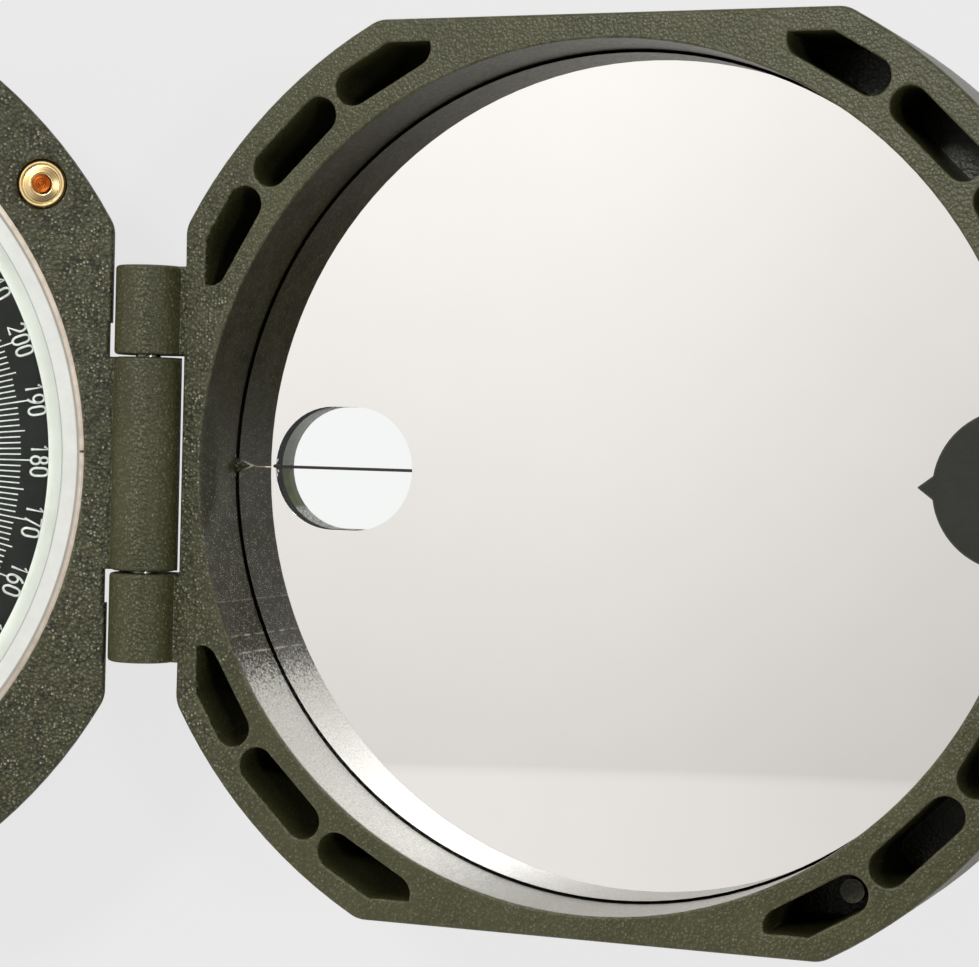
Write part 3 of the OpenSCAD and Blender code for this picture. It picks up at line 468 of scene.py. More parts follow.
def turned_wall(f, x, y):
    """Thin brown paint on a turned wall, how far it is rubbed off, and a painted highlight where it is
    rubbed.
    """
    brown = f.cloudy(f.noise(2.4, 4, 0.7), srgb(42, 40, 24), srgb(56, 54, 35))
    # Towards the foot of the open lid more and more of the paint is rubbed off, and painted near white there
    # as a highlight
    ramp = f.fade(y, -11, -22, -0.3, 0.35)
    rubbed_highlight = f.span(f.math("ADD", f.noise(0.24, 4, 0.8), ramp), 0.46, 0.6, 0.0, 0.92)
    # The rubbed part with its painted highlight ends in slanting streaks towards the latch
    streaks = f.times(f.noise(0.35, 3, 0.7, f.stretch(1, 1, 0.25)), 5 * MM)
    rubbed_highlight = f.times(rubbed_highlight, f.fade(f.math("ADD", x, streaks), -6, -12, 0.42, 1.0))
    scoured_highlight = f.mix(f.span(f.noise(0.16, 3, 0.8), 0.4, 0.6), srgb(206, 205, 195), srgb(250, 249, 242))
    brown = f.mix(rubbed_highlight, brown, scoured_highlight)
    # Painted glints: pale specks on the wall, fading out towards the foot of the lid
    wall_glints = f.times(f.span(f.cells(0.15), 0.36, 0.2), f.span(f.noise(0.6, 3, 0.8), 0.42, 0.58),
                     f.fade(y, 4, -9, 0.15, 0.8), f.fade(y, -15, -20, 1.0, 0.1))
    brown = f.mix(wall_glints, brown, srgb(226, 224, 204))
    # Short scratches down the wall, on the hinge's side only
    for line_y, strength in CROSS_LINES:
        away = f.math("ABSOLUTE", f.math("SUBTRACT", y, line_y * MM))
        line = f.times(f.fade(away, 0.09, 0.04, 0.0, strength), f.span(f.noise(0.8, 2), 0.4, 0.55))
        brown = f.mix(f.times(line, f.fade(x, 0, -1)), brown, srgb(214, 210, 190))
    # Tool marks run round the wall here and there
    marks = f.noise(0.11, 2, 0.6, f.stretch(0.02, 0.02, 1))
    marks = f.times(f.span(marks, 0.6, 0.68), f.span(f.noise(5, 2), 0.5, 0.6, 0.0, 0.3))
    return f.mix(marks, brown, srgb(120, 118, 98)), rubbed_highlight


def tab_edges(f, x, y, level):
    """Pale lines along the edges of the pointed tab on the wall."""
    slope = TAB_L / (TAB_W / 2)
    run = f.times(f.math("ABSOLUTE", y), slope)
    run = f.math("ADD", run, f.math("ADD", x, (CAVITY_R - TAB_L) * MM))
    away = f.math("ABSOLUTE", f.math("DIVIDE", run, math.hypot(slope, 1)))
    on_tab = f.times(f.fade(level, TAB_TOP - 0.12, TAB_TOP - 0.1),
                     f.fade(level, TAB_TOP + 0.04, TAB_TOP + 0.02))
    near = f.fade(f.math("ABSOLUTE", y), TAB_W / 2 + 0.1, TAB_W / 2 + 0.05)
    return f.times(on_tab, f.times(near, f.fade(away, 0.13, 0.08)))


def window_bore(f, x, y, level):
    """Wall of the window, and its colour: olive below the line, a painted grey reflection above it, paler
    towards the top, and a speckled painted reflection at its foot.
    """
    bore = f.times(f.fade(level, GLASS_BACK - 0.06, GLASS_BACK - 0.1),
                   f.fade(f.math("ABSOLUTE", y), BORE_HALF_W, BORE_HALF_W - 0.1),
                   f.fade(x, BORE_NEAR, BORE_NEAR + 0.1), f.fade(x, BORE_FAR, BORE_FAR - 0.1))
    # Painted reflection: grey above the line, paler towards the top
    grey_reflection = f.mix(f.noise(0.2, 2, 0.6, f.stretch(1, 1, 0.05)), srgb(104, 106, 99), srgb(140, 142, 136))
    grey_reflection = f.mix(f.fade(y, 2.0, 4.6), grey_reflection, srgb(196, 198, 193))
    green = f.mix(f.noise(0.4, 3, 0.7), srgb(60, 68, 30), srgb(84, 92, 52))
    # Painted reflection: pale speckles at the foot of the wall
    speckled_reflection = f.mix(f.span(f.noise(0.22, 3, 0.8), 0.42, 0.58), srgb(92, 92, 86), srgb(216, 218, 214))
    colour = f.mix(f.fade(y, -0.3, 0.3), green, grey_reflection)
    return bore, f.mix(f.fade(y, -3.1, -3.5), colour, speckled_reflection)


def dark_enamel(name, where, light):
    """Smooth dark enamel of the small sights. light makes it paler."""
    f = Finish(name, where)
    fine = f.noise(0.25, 4, 0.7)
    tone = f.cloudy(f.noise(3, 3), srgb(42 + light, 43 + light, 38 + light),
                    srgb(50 + light, 51 + light, 45 + light))
    tone = f.mix(f.span(fine, 0.6, 0.8, 0, 0.4), tone, srgb(84, 85, 76))
    tone = f.mix(f.times(f.edges(0.25), 0.5), tone, srgb(108, 108, 98))
    f.colour(tone)
    f.rough(f.span(fine, 0.3, 0.7, 0.42, 0.6))
    f.bump(fine, 0.02, 0.6)
    f.set(Specular_IOR_Level=0.25)
    return f.material


def turned_metal(name, where, dark, light, pitch=0.09, rough=(0.2, 0.36)):
    """Bare metal off the lathe: fine rings round its own axis, slight tarnish."""
    f = Finish(name, where)
    line = f.rings(pitch)
    tone = f.cloudy(f.noise(1.3, 4, 0.65), srgb(*dark), srgb(*light))
    f.colour(f.mix(f.span(line, 0.4, 0.6, 0.25, 0.0), tone, srgb(*[c * 0.6 for c in dark])))
    f.metal(1.0)
    f.rough(f.span(line, 0.35, 0.65, *rough))
    f.bump(line, 0.012, 0.7)
    return f.material


def drawn_metal(name, where, dark, light):
    """Drawn or milled metal with fine lengthwise scratches."""
    f = Finish(name, where)
    scratch = f.noise(0.08, 2, 0.6, f.stretch(1, 0.06, 1))
    f.colour(f.cloudy(f.noise(1.7, 4, 0.65), srgb(*dark), srgb(*light)))
    f.metal(1.0)
    f.rough(f.span(scratch, 0.3, 0.7, 0.22, 0.4))
    f.bump(scratch, 0.01, 0.5)
    return f.material


def clear_glass(name, where, tint=(252, 253, 252)):
    """Clear glass that lets the light through to what lies under it."""
    f = Finish(name, where)
    f.set(Base_Color=srgb(*tint), Transmission_Weight=1.0, IOR=1.5)
    smear = f.noise(9, 4, 0.7)
    f.rough(f.span(smear, 0.45, 0.8, 0.0, 0.015))
    path = f.node("ShaderNodeLightPath")
    clear = f.node("ShaderNodeBsdfTransparent")
    clear.inputs[0].default_value = srgb(*tint)
    both = f.node("ShaderNodeMixShader")
    f.wire(path.outputs["Is Shadow Ray"], both, 0)
    f.link(f.shader.outputs[0], both.inputs[1])
    f.link(clear.outputs[0], both.inputs[2])
    f.link(both.outputs[0], f.out.inputs["Surface"])
    return f.material


SPIRIT_IOR = 1.36


def spirit_finish(name, where):
    """Yellow-green level liquid."""
    f = Finish(name, where)
    f.set(Transmission_Weight=1.0, IOR=SPIRIT_IOR, Roughness=0.02)
    f.colour(f.cloudy(f.noise(2, 2), srgb(196, 214, 92), srgb(206, 222, 112)))
    return f.material


def silver_finish(name):
    """Silvered back of the mirror glass."""
    f = Finish(name, lid_place)
    haze = f.noise(14, 4, 0.7)
    f.colour(f.cloudy(haze, srgb(250, 249, 247), srgb(252, 252, 250)))
    f.metal(1.0)
    f.rough(f.span(haze, 0.4, 0.8, 0.004, 0.012))
    return f.material


def rubber_finish(name, where):
    """White gasket, with painted shade where it meets the snap ring and the glass."""
    f = Finish(name, where)
    cloud = f.noise(1.4, 4, 0.65)
    white = f.cloudy(cloud, srgb(230, 234, 229), srgb(240, 243, 239))
    radius = f.radius()
    # Painted shade: darker under the snap ring's edge, darkest in the gap beside it, and dark at the
    # gasket's inner edge
    snap_ring_shade = f.fade(radius, SNAP_IN - 0.3, SNAP_IN - 0.24, 0.0, 0.6)
    gap_shade = f.fade(radius, SNAP_IN - 0.09, SNAP_IN - 0.05, 0.0, 0.8)
    inner_edge_shade = f.fade(radius, GASKET_IN + 0.11, GASKET_IN + 0.04, 0.0, 0.5)
    white = f.mix(snap_ring_shade, white, srgb(120, 112, 100))
    white = f.mix(gap_shade, white, srgb(78, 72, 60))
    f.colour(f.mix(inner_edge_shade, white, srgb(70, 68, 60)))
    f.rough(f.span(cloud, 0.3, 0.7, 0.38, 0.5))
    f.bump(f.noise(0.2, 3), 0.008, 0.5)
    return f.material


DIAL_BAND_OUT = 29.4


def dial_finish(name):
    """Satin black band inside, pale anodised rim outside."""
    f = Finish(name, case_place)
    fine = f.noise(0.12, 3, 0.6)
    outer = f.fade(f.radius(), DIAL_BAND_OUT, DIAL_BAND_OUT + 0.03)
    black = f.cloudy(f.noise(4, 3), srgb(24, 25, 23), srgb(30, 31, 29))
    black = f.mix(f.span(fine, 0.62, 0.75, 0, 0.3), black, srgb(62, 63, 58))
    pale = f.cloudy(f.noise(3, 3), srgb(220, 223, 214), srgb(231, 234, 225))
    f.colour(f.mix(outer, black, pale))
    f.rough(f.span(fine, 0.3, 0.7, 0.5, 0.64))
    f.bump(fine, 0.006, 0.5)
    f.set(Specular_IOR_Level=0.12)
    return f.material


def plate_finish(name):
    """Satin pale metal of the scale plate, brushed round its centre."""
    f = Finish(name, case_place)
    line = f.rings(0.12)
    f.colour(f.cloudy(f.noise(6, 4, 0.6), srgb(184, 186, 179), srgb(198, 199, 192)))
    f.metal(0.55)
    f.rough(f.span(line, 0.3, 0.7, 0.34, 0.5))
    f.bump(line, 0.008, 0.5)
    return f.material


def ink(name, tone, where=None):
    """Printed or filled line work."""
    f = Finish(name, where)
    cloud = f.noise(0.3, 3, 0.7)
    f.colour(f.cloudy(cloud, srgb(*tone), srgb(*[c * 0.9 for c in tone])))
    f.rough(f.span(cloud, 0.3, 0.7, 0.45, 0.6))
    f.bump(cloud, 0.004, 0.5)
    return f.material


def felt_finish(name):
    """Dark felt behind the mirror."""
    f = Finish(name, lid_place)
    fibre = f.noise(0.18, 5, 0.8)
    f.colour(f.cloudy(fibre, srgb(24, 24, 22), srgb(44, 44, 40)))
    f.rough(0.95)
    f.bump(fibre, 0.12, 0.9)
    f.set(Sheen_Weight=0.3, Sheen_Roughness=0.5)
    return f.material


def jewel_finish(name):
    """Red stone of the needle's bearing."""
    f = Finish(name, case_place)
    f.set(Transmission_Weight=0.6, IOR=1.77, Roughness=0.05)
    f.colour(f.cloudy(f.noise(0.5, 2), srgb(170, 24, 30), srgb(200, 44, 44)))
    return f.material


PAINT_START = 15.0


def needle_finish(name):
    """Blued steel, with the north end painted white."""
    f = Finish(name, Matrix.Rotation(deg(NEEDLE_TURN), 4, "Z"))
    x, _, _ = f.axes()
    scratch = f.noise(0.1, 3, 0.7, f.stretch(0.1, 1, 1))
    blue = f.cloudy(f.noise(2, 4), srgb(30, 34, 46), srgb(46, 54, 74))
    painted = f.fade(x, PAINT_START, PAINT_START + 0.05)
    white = f.cloudy(scratch, srgb(222, 222, 214), srgb(236, 236, 230))
    f.colour(f.mix(painted, blue, white))
    f.metal(f.math("SUBTRACT", 1.0, painted))
    f.rough(f.span(scratch, 0.3, 0.7, 0.26, 0.42))
    f.bump(scratch, 0.006, 0.5)
    return f.material


def bubble_finish(name):
    """Air inside the level's liquid."""
    f = Finish(name, case_place)
    f.set(Transmission_Weight=1.0, IOR=1 / SPIRIT_IOR)
    f.rough(f.span(f.noise(0.6, 2), 0.3, 0.7, 0.0, 0.02))
    return f.material


def scribed_finish(name):
    """A scratch through the paint: dull near the tab, bright near the window."""
    f = Finish(name, lid_place)
    x, _, _ = f.axes()
    bright = f.fade(x, -30.5, -30.3)
    tone = f.mix(f.span(f.noise(0.2, 2), 0.35, 0.65), srgb(138, 124, 98), srgb(160, 146, 118))
    f.colour(f.mix(bright, tone, srgb(238, 234, 224)))
    f.rough(0.5)
    return f.material


def dress(node, material):
    for slot in nodes[node].material_slots:
        slot.material = material
    if not nodes[node].material_slots:
        nodes[node].data.materials.append(material)


# Places of turned parts, for their ring marks
low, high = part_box("lift_bush")
bush_x, bush_y = (low.x + high.x) / 2 / MM, (low.y + high.y) / 2 / MM
bush_place = Matrix.Translation(mm(bush_x, bush_y, 0))
round_level_place = Matrix.Translation(mm(0, 19, 0))

STEEL_TONES, BRASS_TONES = ((150, 152, 153), (190, 192, 193)), ((184, 146, 84), (218, 186, 120))
case_paint = enamel("wrinkled olive enamel, case", case_place, 0.26, (HINGE_X, HINGE_Z))
lid_paint = enamel("wrinkled olive enamel, lid", lid_place, 0.26, (-HINGE_X, CLOSED_GAP), True)
arm_paint = enamel("olive enamel, long sight", case_place, 0.24)
leaf_paint = dark_enamel("dark enamel, short sight", lid_place, -6)
tip_paint = dark_enamel("olive enamel, tip sight", case_place, 24)
steel = drawn_metal("drawn steel", case_place, *STEEL_TONES)
steel_dark = drawn_metal("blued steel", case_place, (52, 56, 66), (78, 84, 96))
lid_steel = drawn_metal("drawn steel, lid", lid_place, *STEEL_TONES)
brass_bush = turned_metal("turned brass, bush", bush_place, (214, 178, 112), (244, 222, 172),
                          0.11, (0.26, 0.44))
copper_pin = turned_metal("copper red, lift pin", bush_place, (168, 66, 20), (232, 128, 52),
                          0.07, (0.2, 0.34))
brass = drawn_metal("brass, plain", case_place, (178, 142, 82), (214, 182, 118))
brass_ring = turned_metal("brass, snap ring", case_place, (206, 192, 174), (236, 224, 210),
                          0.12, (0.4, 0.55))
brass_cup = turned_metal("turned brass, round level", round_level_place, *BRASS_TONES)
brass_centre = turned_metal("turned brass, centre", case_place, *BRASS_TONES)
steel_centre = turned_metal("turned steel, centre", case_place, (150, 152, 154), (196, 198, 200))
crystal_glass = clear_glass("dial glass", case_place)
mirror_glass = clear_glass("mirror glass", lid_place, (250, 252, 251))
level_glass = clear_glass("level glass", case_place)
spirit = spirit_finish("level liquid", case_place)
silver = silver_finish("mirror silver")
needle_steel = needle_finish("blued needle with a white end")
gasket = rubber_finish("white gasket", case_place)
dial = dial_finish("graduated ring")
plate = plate_finish("scale plate")
felt = felt_finish("felt pad")
ruby = jewel_finish("needle jewel")
white_ink = ink("white filling", (226, 230, 222))
black_ink = ink("black filling", (24, 24, 22))
line_ink = ink("sight line", (38, 28, 22), lid_place)
scribed_ink = scribed_finish("scribed line")

for material, names in (
        (steel, "hinge_pin long_sight_pin tip_sight_pin rear_lever lift_lever lift_bracket_pin lift_spring"
                " ring_pinion"),
        (lid_steel, "short_sight_pin"),
        (steel_dark, "plate_screws"),
        (steel_centre, "clinometer_shaft lever_screw pivot_post"),
        (brass, "vernier_arm level_holder lift_bracket"),
        (brass_centre, "lever_washer needle_cap"),
        (brass_ring, "snap_ring"),
        (brass_cup, "round_level_cup"),
        (brass_bush, "lift_bush"),
        (copper_pin, "needle_weight lift_pin"),
        (plate, "clinometer_plate vernier_plate"),
        (dial, "azimuth_ring"),
        (gasket, "crystal_gasket"),
        (needle_steel, "needle_blade"),
        (ruby, "needle_jewel"),
        (crystal_glass, "crystal"),
        (mirror_glass, "mirror_glass"),
        (silver, "mirror_silver"),
        (felt, "mirror_pad"),
        (line_ink, "sight_line"),
        (level_glass, "level_vial round_level_glass"),
        (spirit, "level_spirit round_level_spirit")):
    for name in names.split():
        dress(name, material)


# Enamelled castings, with rounded edges. Each share is the part of the full rounding that an edge gets
def case_share(x, y, z):
    """None at the ledge below the face and in the relief beside the knuckles, little inside the case."""
    r = math.hypot(x, y)
    if 18.9 < z < 19.85 and r > 30:
        return 0
    if z > 19.9 and 30 < r < 33.2:
        return 0.6
    if r < 33 and 0.5 < z < 19.9:
        return 0.25
    if 34 < x < 34.8 and abs(y) < 11.5 and z < 19.9:
        return 0
    return 1


def lid_share(x, y, z):
    """Less round the cavity and the pockets, little below the rim."""
    r = math.hypot(x, y)
    if z > -0.1:
        return 0.6 if r < 38 and max(abs(x), abs(y)) < 33.4 else 1
    if z > -12.9:
        return 0.2
    return 1 if r > 34 else 0.5


def full_share(x, y, z):
    return 1


take("case_body", "case_shell", case_paint, "case", 0.3, case_place, case_share)
take("lid_case", "lid_shell", lid_paint, "lid", 0.3, lid_place, lid_share)
take("long_sight_arm", "long_sight_bar", arm_paint, "long_sight", 0.15, case_place, full_share)
take("tip_sight", "tip_sight_leaf", tip_paint, "tip_sight", 0.12, case_place, full_share)
take("short_sight", "short_sight_leaf", leaf_paint, "short_sight", 0.1, lid_place, full_share)


def choose_end(piece, choose):
    """Selects the highest or lowest face, and goes into edit mode."""
    pick(piece)
    for p in piece.data.polygons:
        p.select = False
    choose(piece.data.polygons, key=lambda p: p.center.z).select = True
    bpy.ops.object.mode_set(mode="EDIT")


def turned_piece(name, radius, top, bottom, cuts, material, foot):
    """A turned piece round the lift pin's axis. Each cut is an inset and a step up or down on its top face,
    and the foot is an inset and a length under it."""
    bpy.ops.mesh.primitive_cylinder_add(vertices=56, radius=radius * MM, depth=(top - bottom) * MM,
                                        location=mm(bush_x, bush_y, (top + bottom) / 2))
    piece = settle(bpy.context.object, name, material)
    edit(piece)
    bpy.ops.mesh.select_all(action="DESELECT")
    done()
    choose_end(piece, max)
    for width, step in cuts:
        bpy.ops.mesh.inset(thickness=width * MM, depth=step * MM)
    done()
    width, drop = foot
    choose_end(piece, min)
    bpy.ops.mesh.inset(thickness=width * MM, depth=0)
    bpy.ops.mesh.extrude_region_move(TRANSFORM_OT_translate={"value": (0, 0, -drop * MM)})
    done()
    bpy.ops.object.shade_smooth_by_angle(angle=deg(LATHE_SMOOTH))
    return piece


BUSH_TOP, FLANGE_R, FLANGE_H = 19.8, 1.9, 0.9
BUSH_LIP, BUSH_STEP = 0.14, 0.6
BUSH_CUTS = [(0.12, BUSH_LIP), (0.16, 0), (0.06, -0.16), (0.1, 0), (0.28, 0.1), (0.24, 0.06), (0.08, -0.02),
             (0.06, 0), (0.01, -4.2)]
bush_foot = low.z / MM
bush = turned_piece("lift_bush_turned", FLANGE_R, BUSH_TOP - BUSH_LIP, BUSH_TOP - FLANGE_H, BUSH_CUTS,
                    brass_bush, (BUSH_STEP, BUSH_TOP - FLANGE_H - bush_foot))
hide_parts("lift_bush")
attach(bush, "case")

# Index line scribed in the silver from the tab's point to the window
LINE_START, LINE_END, LINE_W, LINE_Y = -31.3, -29.8, 0.1, -0.05
SILVER_FRONT = -6.7
PRINT_T = 0.02
bpy.ops.mesh.primitive_cube_add(size=1)
scribed = bpy.context.object
scribed.scale = ((LINE_END - LINE_START) * MM, LINE_W * MM, PRINT_T * MM)
settle(scribed, "index_line", scribed_ink)
place(scribed, lid_place @ Matrix.Translation(mm((LINE_START + LINE_END) / 2, LINE_Y,
                                                 SILVER_FRONT + PRINT_T / 2)))
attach(scribed, "lid")

# Ring graduations: one ten-degree group is cut once and repeated round the ring
BAND_TOP = 15.5
TICK_W, TICK_IN = 0.1, 25.2
TICK_OUT, FIVE_OUT, TEN_OUT = 27.0, 27.4, 27.9


def bar(x0, x1, width, z):
    """One flat filled line from x0 to x1 along x."""
    bpy.ops.mesh.primitive_cube_add(size=1, location=mm((x0 + x1) / 2, 0, z + PRINT_T / 2))
    piece = bpy.context.object
    piece.scale = ((x1 - x0) * MM, width * MM, PRINT_T * MM)
    bpy.ops.object.transform_apply(location=True, rotation=True, scale=True)
    return piece


def about_dial(angle):
    """A turn about the dial's axis."""
    return Matrix.Rotation(deg(angle), 4, "Z")


def repeat(piece, times, angle):
    """Repeats all that a piece has, round the dial's axis."""
    edit(piece)
    bpy.ops.mesh.spin(steps=times - 1, angle=angle * (times - 1) / times, center=(0, 0, 0),
                      axis=(0, 0, 1), dupli=True)
    done()
    return piece


group = []
for i in range(10):
    outer = TEN_OUT if i == 0 else FIVE_OUT if i == 5 else TICK_OUT
    group.append(place(bar(TICK_IN, outer, TICK_W, BAND_TOP), about_dial(i)))
ticks = join(group, "ring_graduations")
repeat(ticks, 36, 2 * math.pi)
settle(ticks, "ring_graduations", white_ink)
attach(ticks, "azimuth")


# Numerals drawn with one round stroke, as a pantograph cuts them
def arc(x, y, rx, ry, a0, a1, count=12):
    angles = [deg(a0 + (a1 - a0) * i / count) for i in range(count + 1)]
    return [(x + rx * math.cos(a), y + ry * math.sin(a)) for a in angles]


FIGURES = {
    "0": [arc(0.3, 0.68, 0.3, 0.32, 0, 180) + arc(0.3, 0.32, 0.3, 0.32, 180, 360) + [(0.6, 0.68)]],
    "1": [[(0.12, 0.76), (0.36, 1.0), (0.36, 0.0)]],
    "2": [arc(0.3, 0.7, 0.29, 0.3, 165, -30) + [(0.0, 0.0), (0.6, 0.0)]],
    "3": [arc(0.3, 0.76, 0.25, 0.24, 150, -90), arc(0.3, 0.27, 0.29, 0.27, 85, -150)],
    "4": [[(0.46, 0.0), (0.46, 1.0), (0.0, 0.27), (0.62, 0.27)]],
    "5": [[(0.54, 1.0), (0.1, 1.0), (0.06, 0.56)] + arc(0.28, 0.34, 0.31, 0.34, 130, -145)],
    "6": [arc(0.3, 0.31, 0.3, 0.31, 0, 360, 20), arc(0.62, 0.3, 0.62, 0.72, 180, 112, 8)],
    "7": [[(0.0, 1.0), (0.6, 1.0), (0.2, 0.0)]],
    "8": [arc(0.3, 0.76, 0.23, 0.24, 0, 360, 20), arc(0.3, 0.27, 0.3, 0.27, 0, 360, 20)],
    "9": [arc(0.3, 0.69, 0.3, 0.31, 0, 360, 20), arc(-0.02, 0.7, 0.62, 0.72, 0, -68, 8)],
}


# A figure's step and width as parts of its height; then height, stroke and squeeze on each scale
FIGURE_STEP, FIGURE_W = 0.9016, 0.6
RING_FIGURE, PLATE_FIGURE, VERNIER_FIGURE = (1.42, 0.19, 0.74), (1.15, 0.13, 0.8), (1.0, 0.11, 0.8)


def numeral(text, tall, stroke, squeeze):
    """Numerals in a flat mesh, centred, their feet at y = 0."""
    curve = bpy.data.curves.new("numeral " + text, "CURVE")
    curve.dimensions = "3D"
    curve.bevel_depth, curve.bevel_resolution = stroke / 2 * MM, 1
    step = FIGURE_STEP * tall * squeeze
    width = FIGURE_W * tall * squeeze
    x0 = -((len(text) - 1) * step + width) / 2
    for i, figure in enumerate(text):
        for points in FIGURES[figure]:
            spline = curve.splines.new("POLY")
            spline.points.add(len(points) - 1)
            for p, (x, y) in zip(spline.points, points):
                p.co = ((x0 + i * step + x * tall * squeeze) * MM, y * tall * MM, 0, 1)
    curve.use_fill_caps = True
    piece = bpy.data.objects.new("numeral " + text, curve)
    bpy.context.scene.collection.objects.link(piece)
    pick(piece)
    bpy.ops.object.convert(target="MESH")
    piece = bpy.context.object
    piece.data.transform(Matrix.Diagonal((1, 1, 2 * PRINT_T / stroke, 1)))
    return piece


FIGURE_FOOT = 27.83
HINGE_VALUE = 180
labels = []
for i in range(36):
    piece = numeral(str((HINGE_VALUE + 10 * i) % 360), *RING_FIGURE)
    labels.append(place(piece, about_dial(10 * i) @ Matrix.Translation(mm(FIGURE_FOOT, 0, BAND_TOP))
                        @ about_dial(-90)))
labels = settle(join(labels, "ring_numerals"), "ring_numerals", white_ink)
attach(labels, "azimuth")

# Scale on the clinometer plate: degrees each way from its foot, cut in groups of five
PLATE_TOP, PLATE_TICK_OUT = 5.6, 24.1
PLATE_TICK_IN, PLATE_FIVE_IN = 23.6, 23.2
PLATE_FIGURE_FOOT = 21.9
SCALE_HALF = 75
FINE_W = 0.07
marks = []
for i in range(5):
    tick = bar(PLATE_FIVE_IN if i == 0 else PLATE_TICK_IN, PLATE_TICK_OUT, FINE_W, PLATE_TOP)
    marks.append(place(tick, about_dial(i - 90 - SCALE_HALF)))
marks = repeat(join(marks, "plate_graduations"), 2 * SCALE_HALF // 5, deg(2 * SCALE_HALF))
figures = []
for i in range(-7, 8):
    # The tens beside the plate's screws have no figure
    if abs(i) in (4, 5):
        continue
    piece = numeral(str(abs(10 * i)), *PLATE_FIGURE)
    foot = Matrix.Translation(mm(PLATE_FIGURE_FOOT, 0, PLATE_TOP))
    figures.append(place(piece, about_dial(10 * i - 90) @ foot @ about_dial(270)))
marks = settle(join([marks] + figures, "plate_graduations"), "plate_graduations", black_ink)
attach(marks, "case")

# Lines of the vernier, and its figures. Six of its spaces take ten degrees of the plate
VERNIER_TOP, VERNIER_R = 7.3, 23.5
VERNIER_LONG, VERNIER_SHORT, VERNIER_FIGURE_IN = 1.5, 1.0, 1.8
VERNIER_EDGE = 0.08
VERNIER_STEP = 10 / 6
marks = []
for i in range(-6, 7):
    start_r = VERNIER_R - (VERNIER_LONG if i % 3 == 0 else VERNIER_SHORT)
    tick = bar(start_r, VERNIER_R - VERNIER_EDGE, FINE_W, VERNIER_TOP)
    marks.append(place(tick, about_dial(i * VERNIER_STEP - 90)))
for i, text in ((-6, "60"), (-3, "30"), (0, "0"), (3, "30"), (6, "60")):
    foot = Matrix.Translation(mm(VERNIER_R - VERNIER_FIGURE_IN, 0, VERNIER_TOP))
    piece = numeral(text, *VERNIER_FIGURE)
    marks.append(place(piece, about_dial(i * VERNIER_STEP - 90) @ foot @ about_dial(-90)))
marks = settle(join(marks, "vernier_lines"), "vernier_lines", black_ink)
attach(marks, "clinometer")

# Two lines round the tube level, and its bubble; a circle on the round level
LINE_OFF, HOOP_T, HOOP_SINK = 2.4, 0.07, 0.01
BUBBLE_HALF_L = 2.0
BUBBLE_WIDE, BUBBLE_TALL, BUBBLE_UP = 0.62, 0.34, 0.6
CIRCLE_R, CIRCLE_T, CIRCLE_SINK = 1.75, 0.06, 0.03
low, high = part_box("level_vial")
middle, vial_r = (low + high) / 2, (high.z - low.z) / 2
hoops = []
for side in (-1, 1):
    bpy.ops.mesh.primitive_torus_add(major_radius=vial_r - HOOP_SINK * MM, minor_radius=HOOP_T * MM,
                                     major_segments=48, minor_segments=6, rotation=(0, deg(90), 0),
                                     location=middle + mm(side * LINE_OFF, 0, 0))
    hoops.append(bpy.context.object)
hoops = settle(join(hoops, "level_lines"), "level_lines", black_ink)
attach(hoops, "clinometer")

low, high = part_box("level_spirit")
spirit_r = (high.z - low.z) / 2
bpy.ops.mesh.primitive_uv_sphere_add(segments=32, ring_count=20, radius=1)
bubble = bpy.context.object
bubble.scale = (BUBBLE_HALF_L * MM, BUBBLE_WIDE * spirit_r, BUBBLE_TALL * spirit_r)
bubble.location = (low + high) / 2 + Vector((0, 0, BUBBLE_UP * spirit_r))
settle(bubble, "level_bubble", bubble_finish("level bubble"))
bpy.ops.object.shade_smooth()
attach(bubble, "clinometer")

low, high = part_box("round_level_glass")
middle = (low + high) / 2
bpy.ops.mesh.primitive_torus_add(major_radius=CIRCLE_R * MM, minor_radius=CIRCLE_T * MM,
                                 major_segments=56, minor_segments=6,
                                 location=(middle.x, middle.y, high.z - CIRCLE_SINK * MM))
circle = settle(bpy.context.object, "round_level_circle", black_ink)
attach(circle, "case")

# A dab where the sight line is fixed, and the old cement round it
def drop(x, y, sink, rx, ry, rz, spin=0):
    """A flat drop on the mirror, sunk below its silver."""
    bpy.ops.mesh.primitive_ico_sphere_add(subdivisions=3, radius=1)
    piece = bpy.context.object
    piece.scale = (rx * MM, ry * MM, rz * MM)
    return place(settle(piece), lid_place @ Matrix.Translation(mm(x, y, SILVER_FRONT - sink))
                 @ Matrix.Rotation(deg(spin), 4, "Z"))


DAB_SINK, CEMENT_SINK, CEMENT_H = 0.02, 0.06, 0.04
dabs = [drop(x, y, DAB_SINK, rx, ry, rz)
        for x, y, rx, ry, rz in ((-29.42, 0.03, 0.3, 0.16, 0.09), (-29.2, 0.06, 0.2, 0.1, 0.06))]
dab = settle(join(dabs, "sight_line_dab"), "sight_line_dab", line_ink)
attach(dab, "lid")
# Each row is a place, two half sizes and a turn
CEMENT = ((-29.55, -0.38, 0.16, 0.2, 10), (-29.5, -0.75, 0.11, 0.26, -14), (-29.38, -0.62, 0.07, 0.22, 20),
          (-29.42, -1.12, 0.09, 0.22, 16), (-29.5, 0.33, 0.12, 0.12, 0), (-29.36, 0.5, 0.08, 0.16, -25),
          (-29.28, -0.35, 0.08, 0.12, 30))
cement = [drop(x, y, CEMENT_SINK, rx, ry, CEMENT_H, spin) for x, y, rx, ry, spin in CEMENT]
cement_white = ink("old cement", (206, 206, 216), lid_place)
cement = settle(join(cement, "sight_line_cement"), "sight_line_cement", cement_white)
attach(cement, "lid")

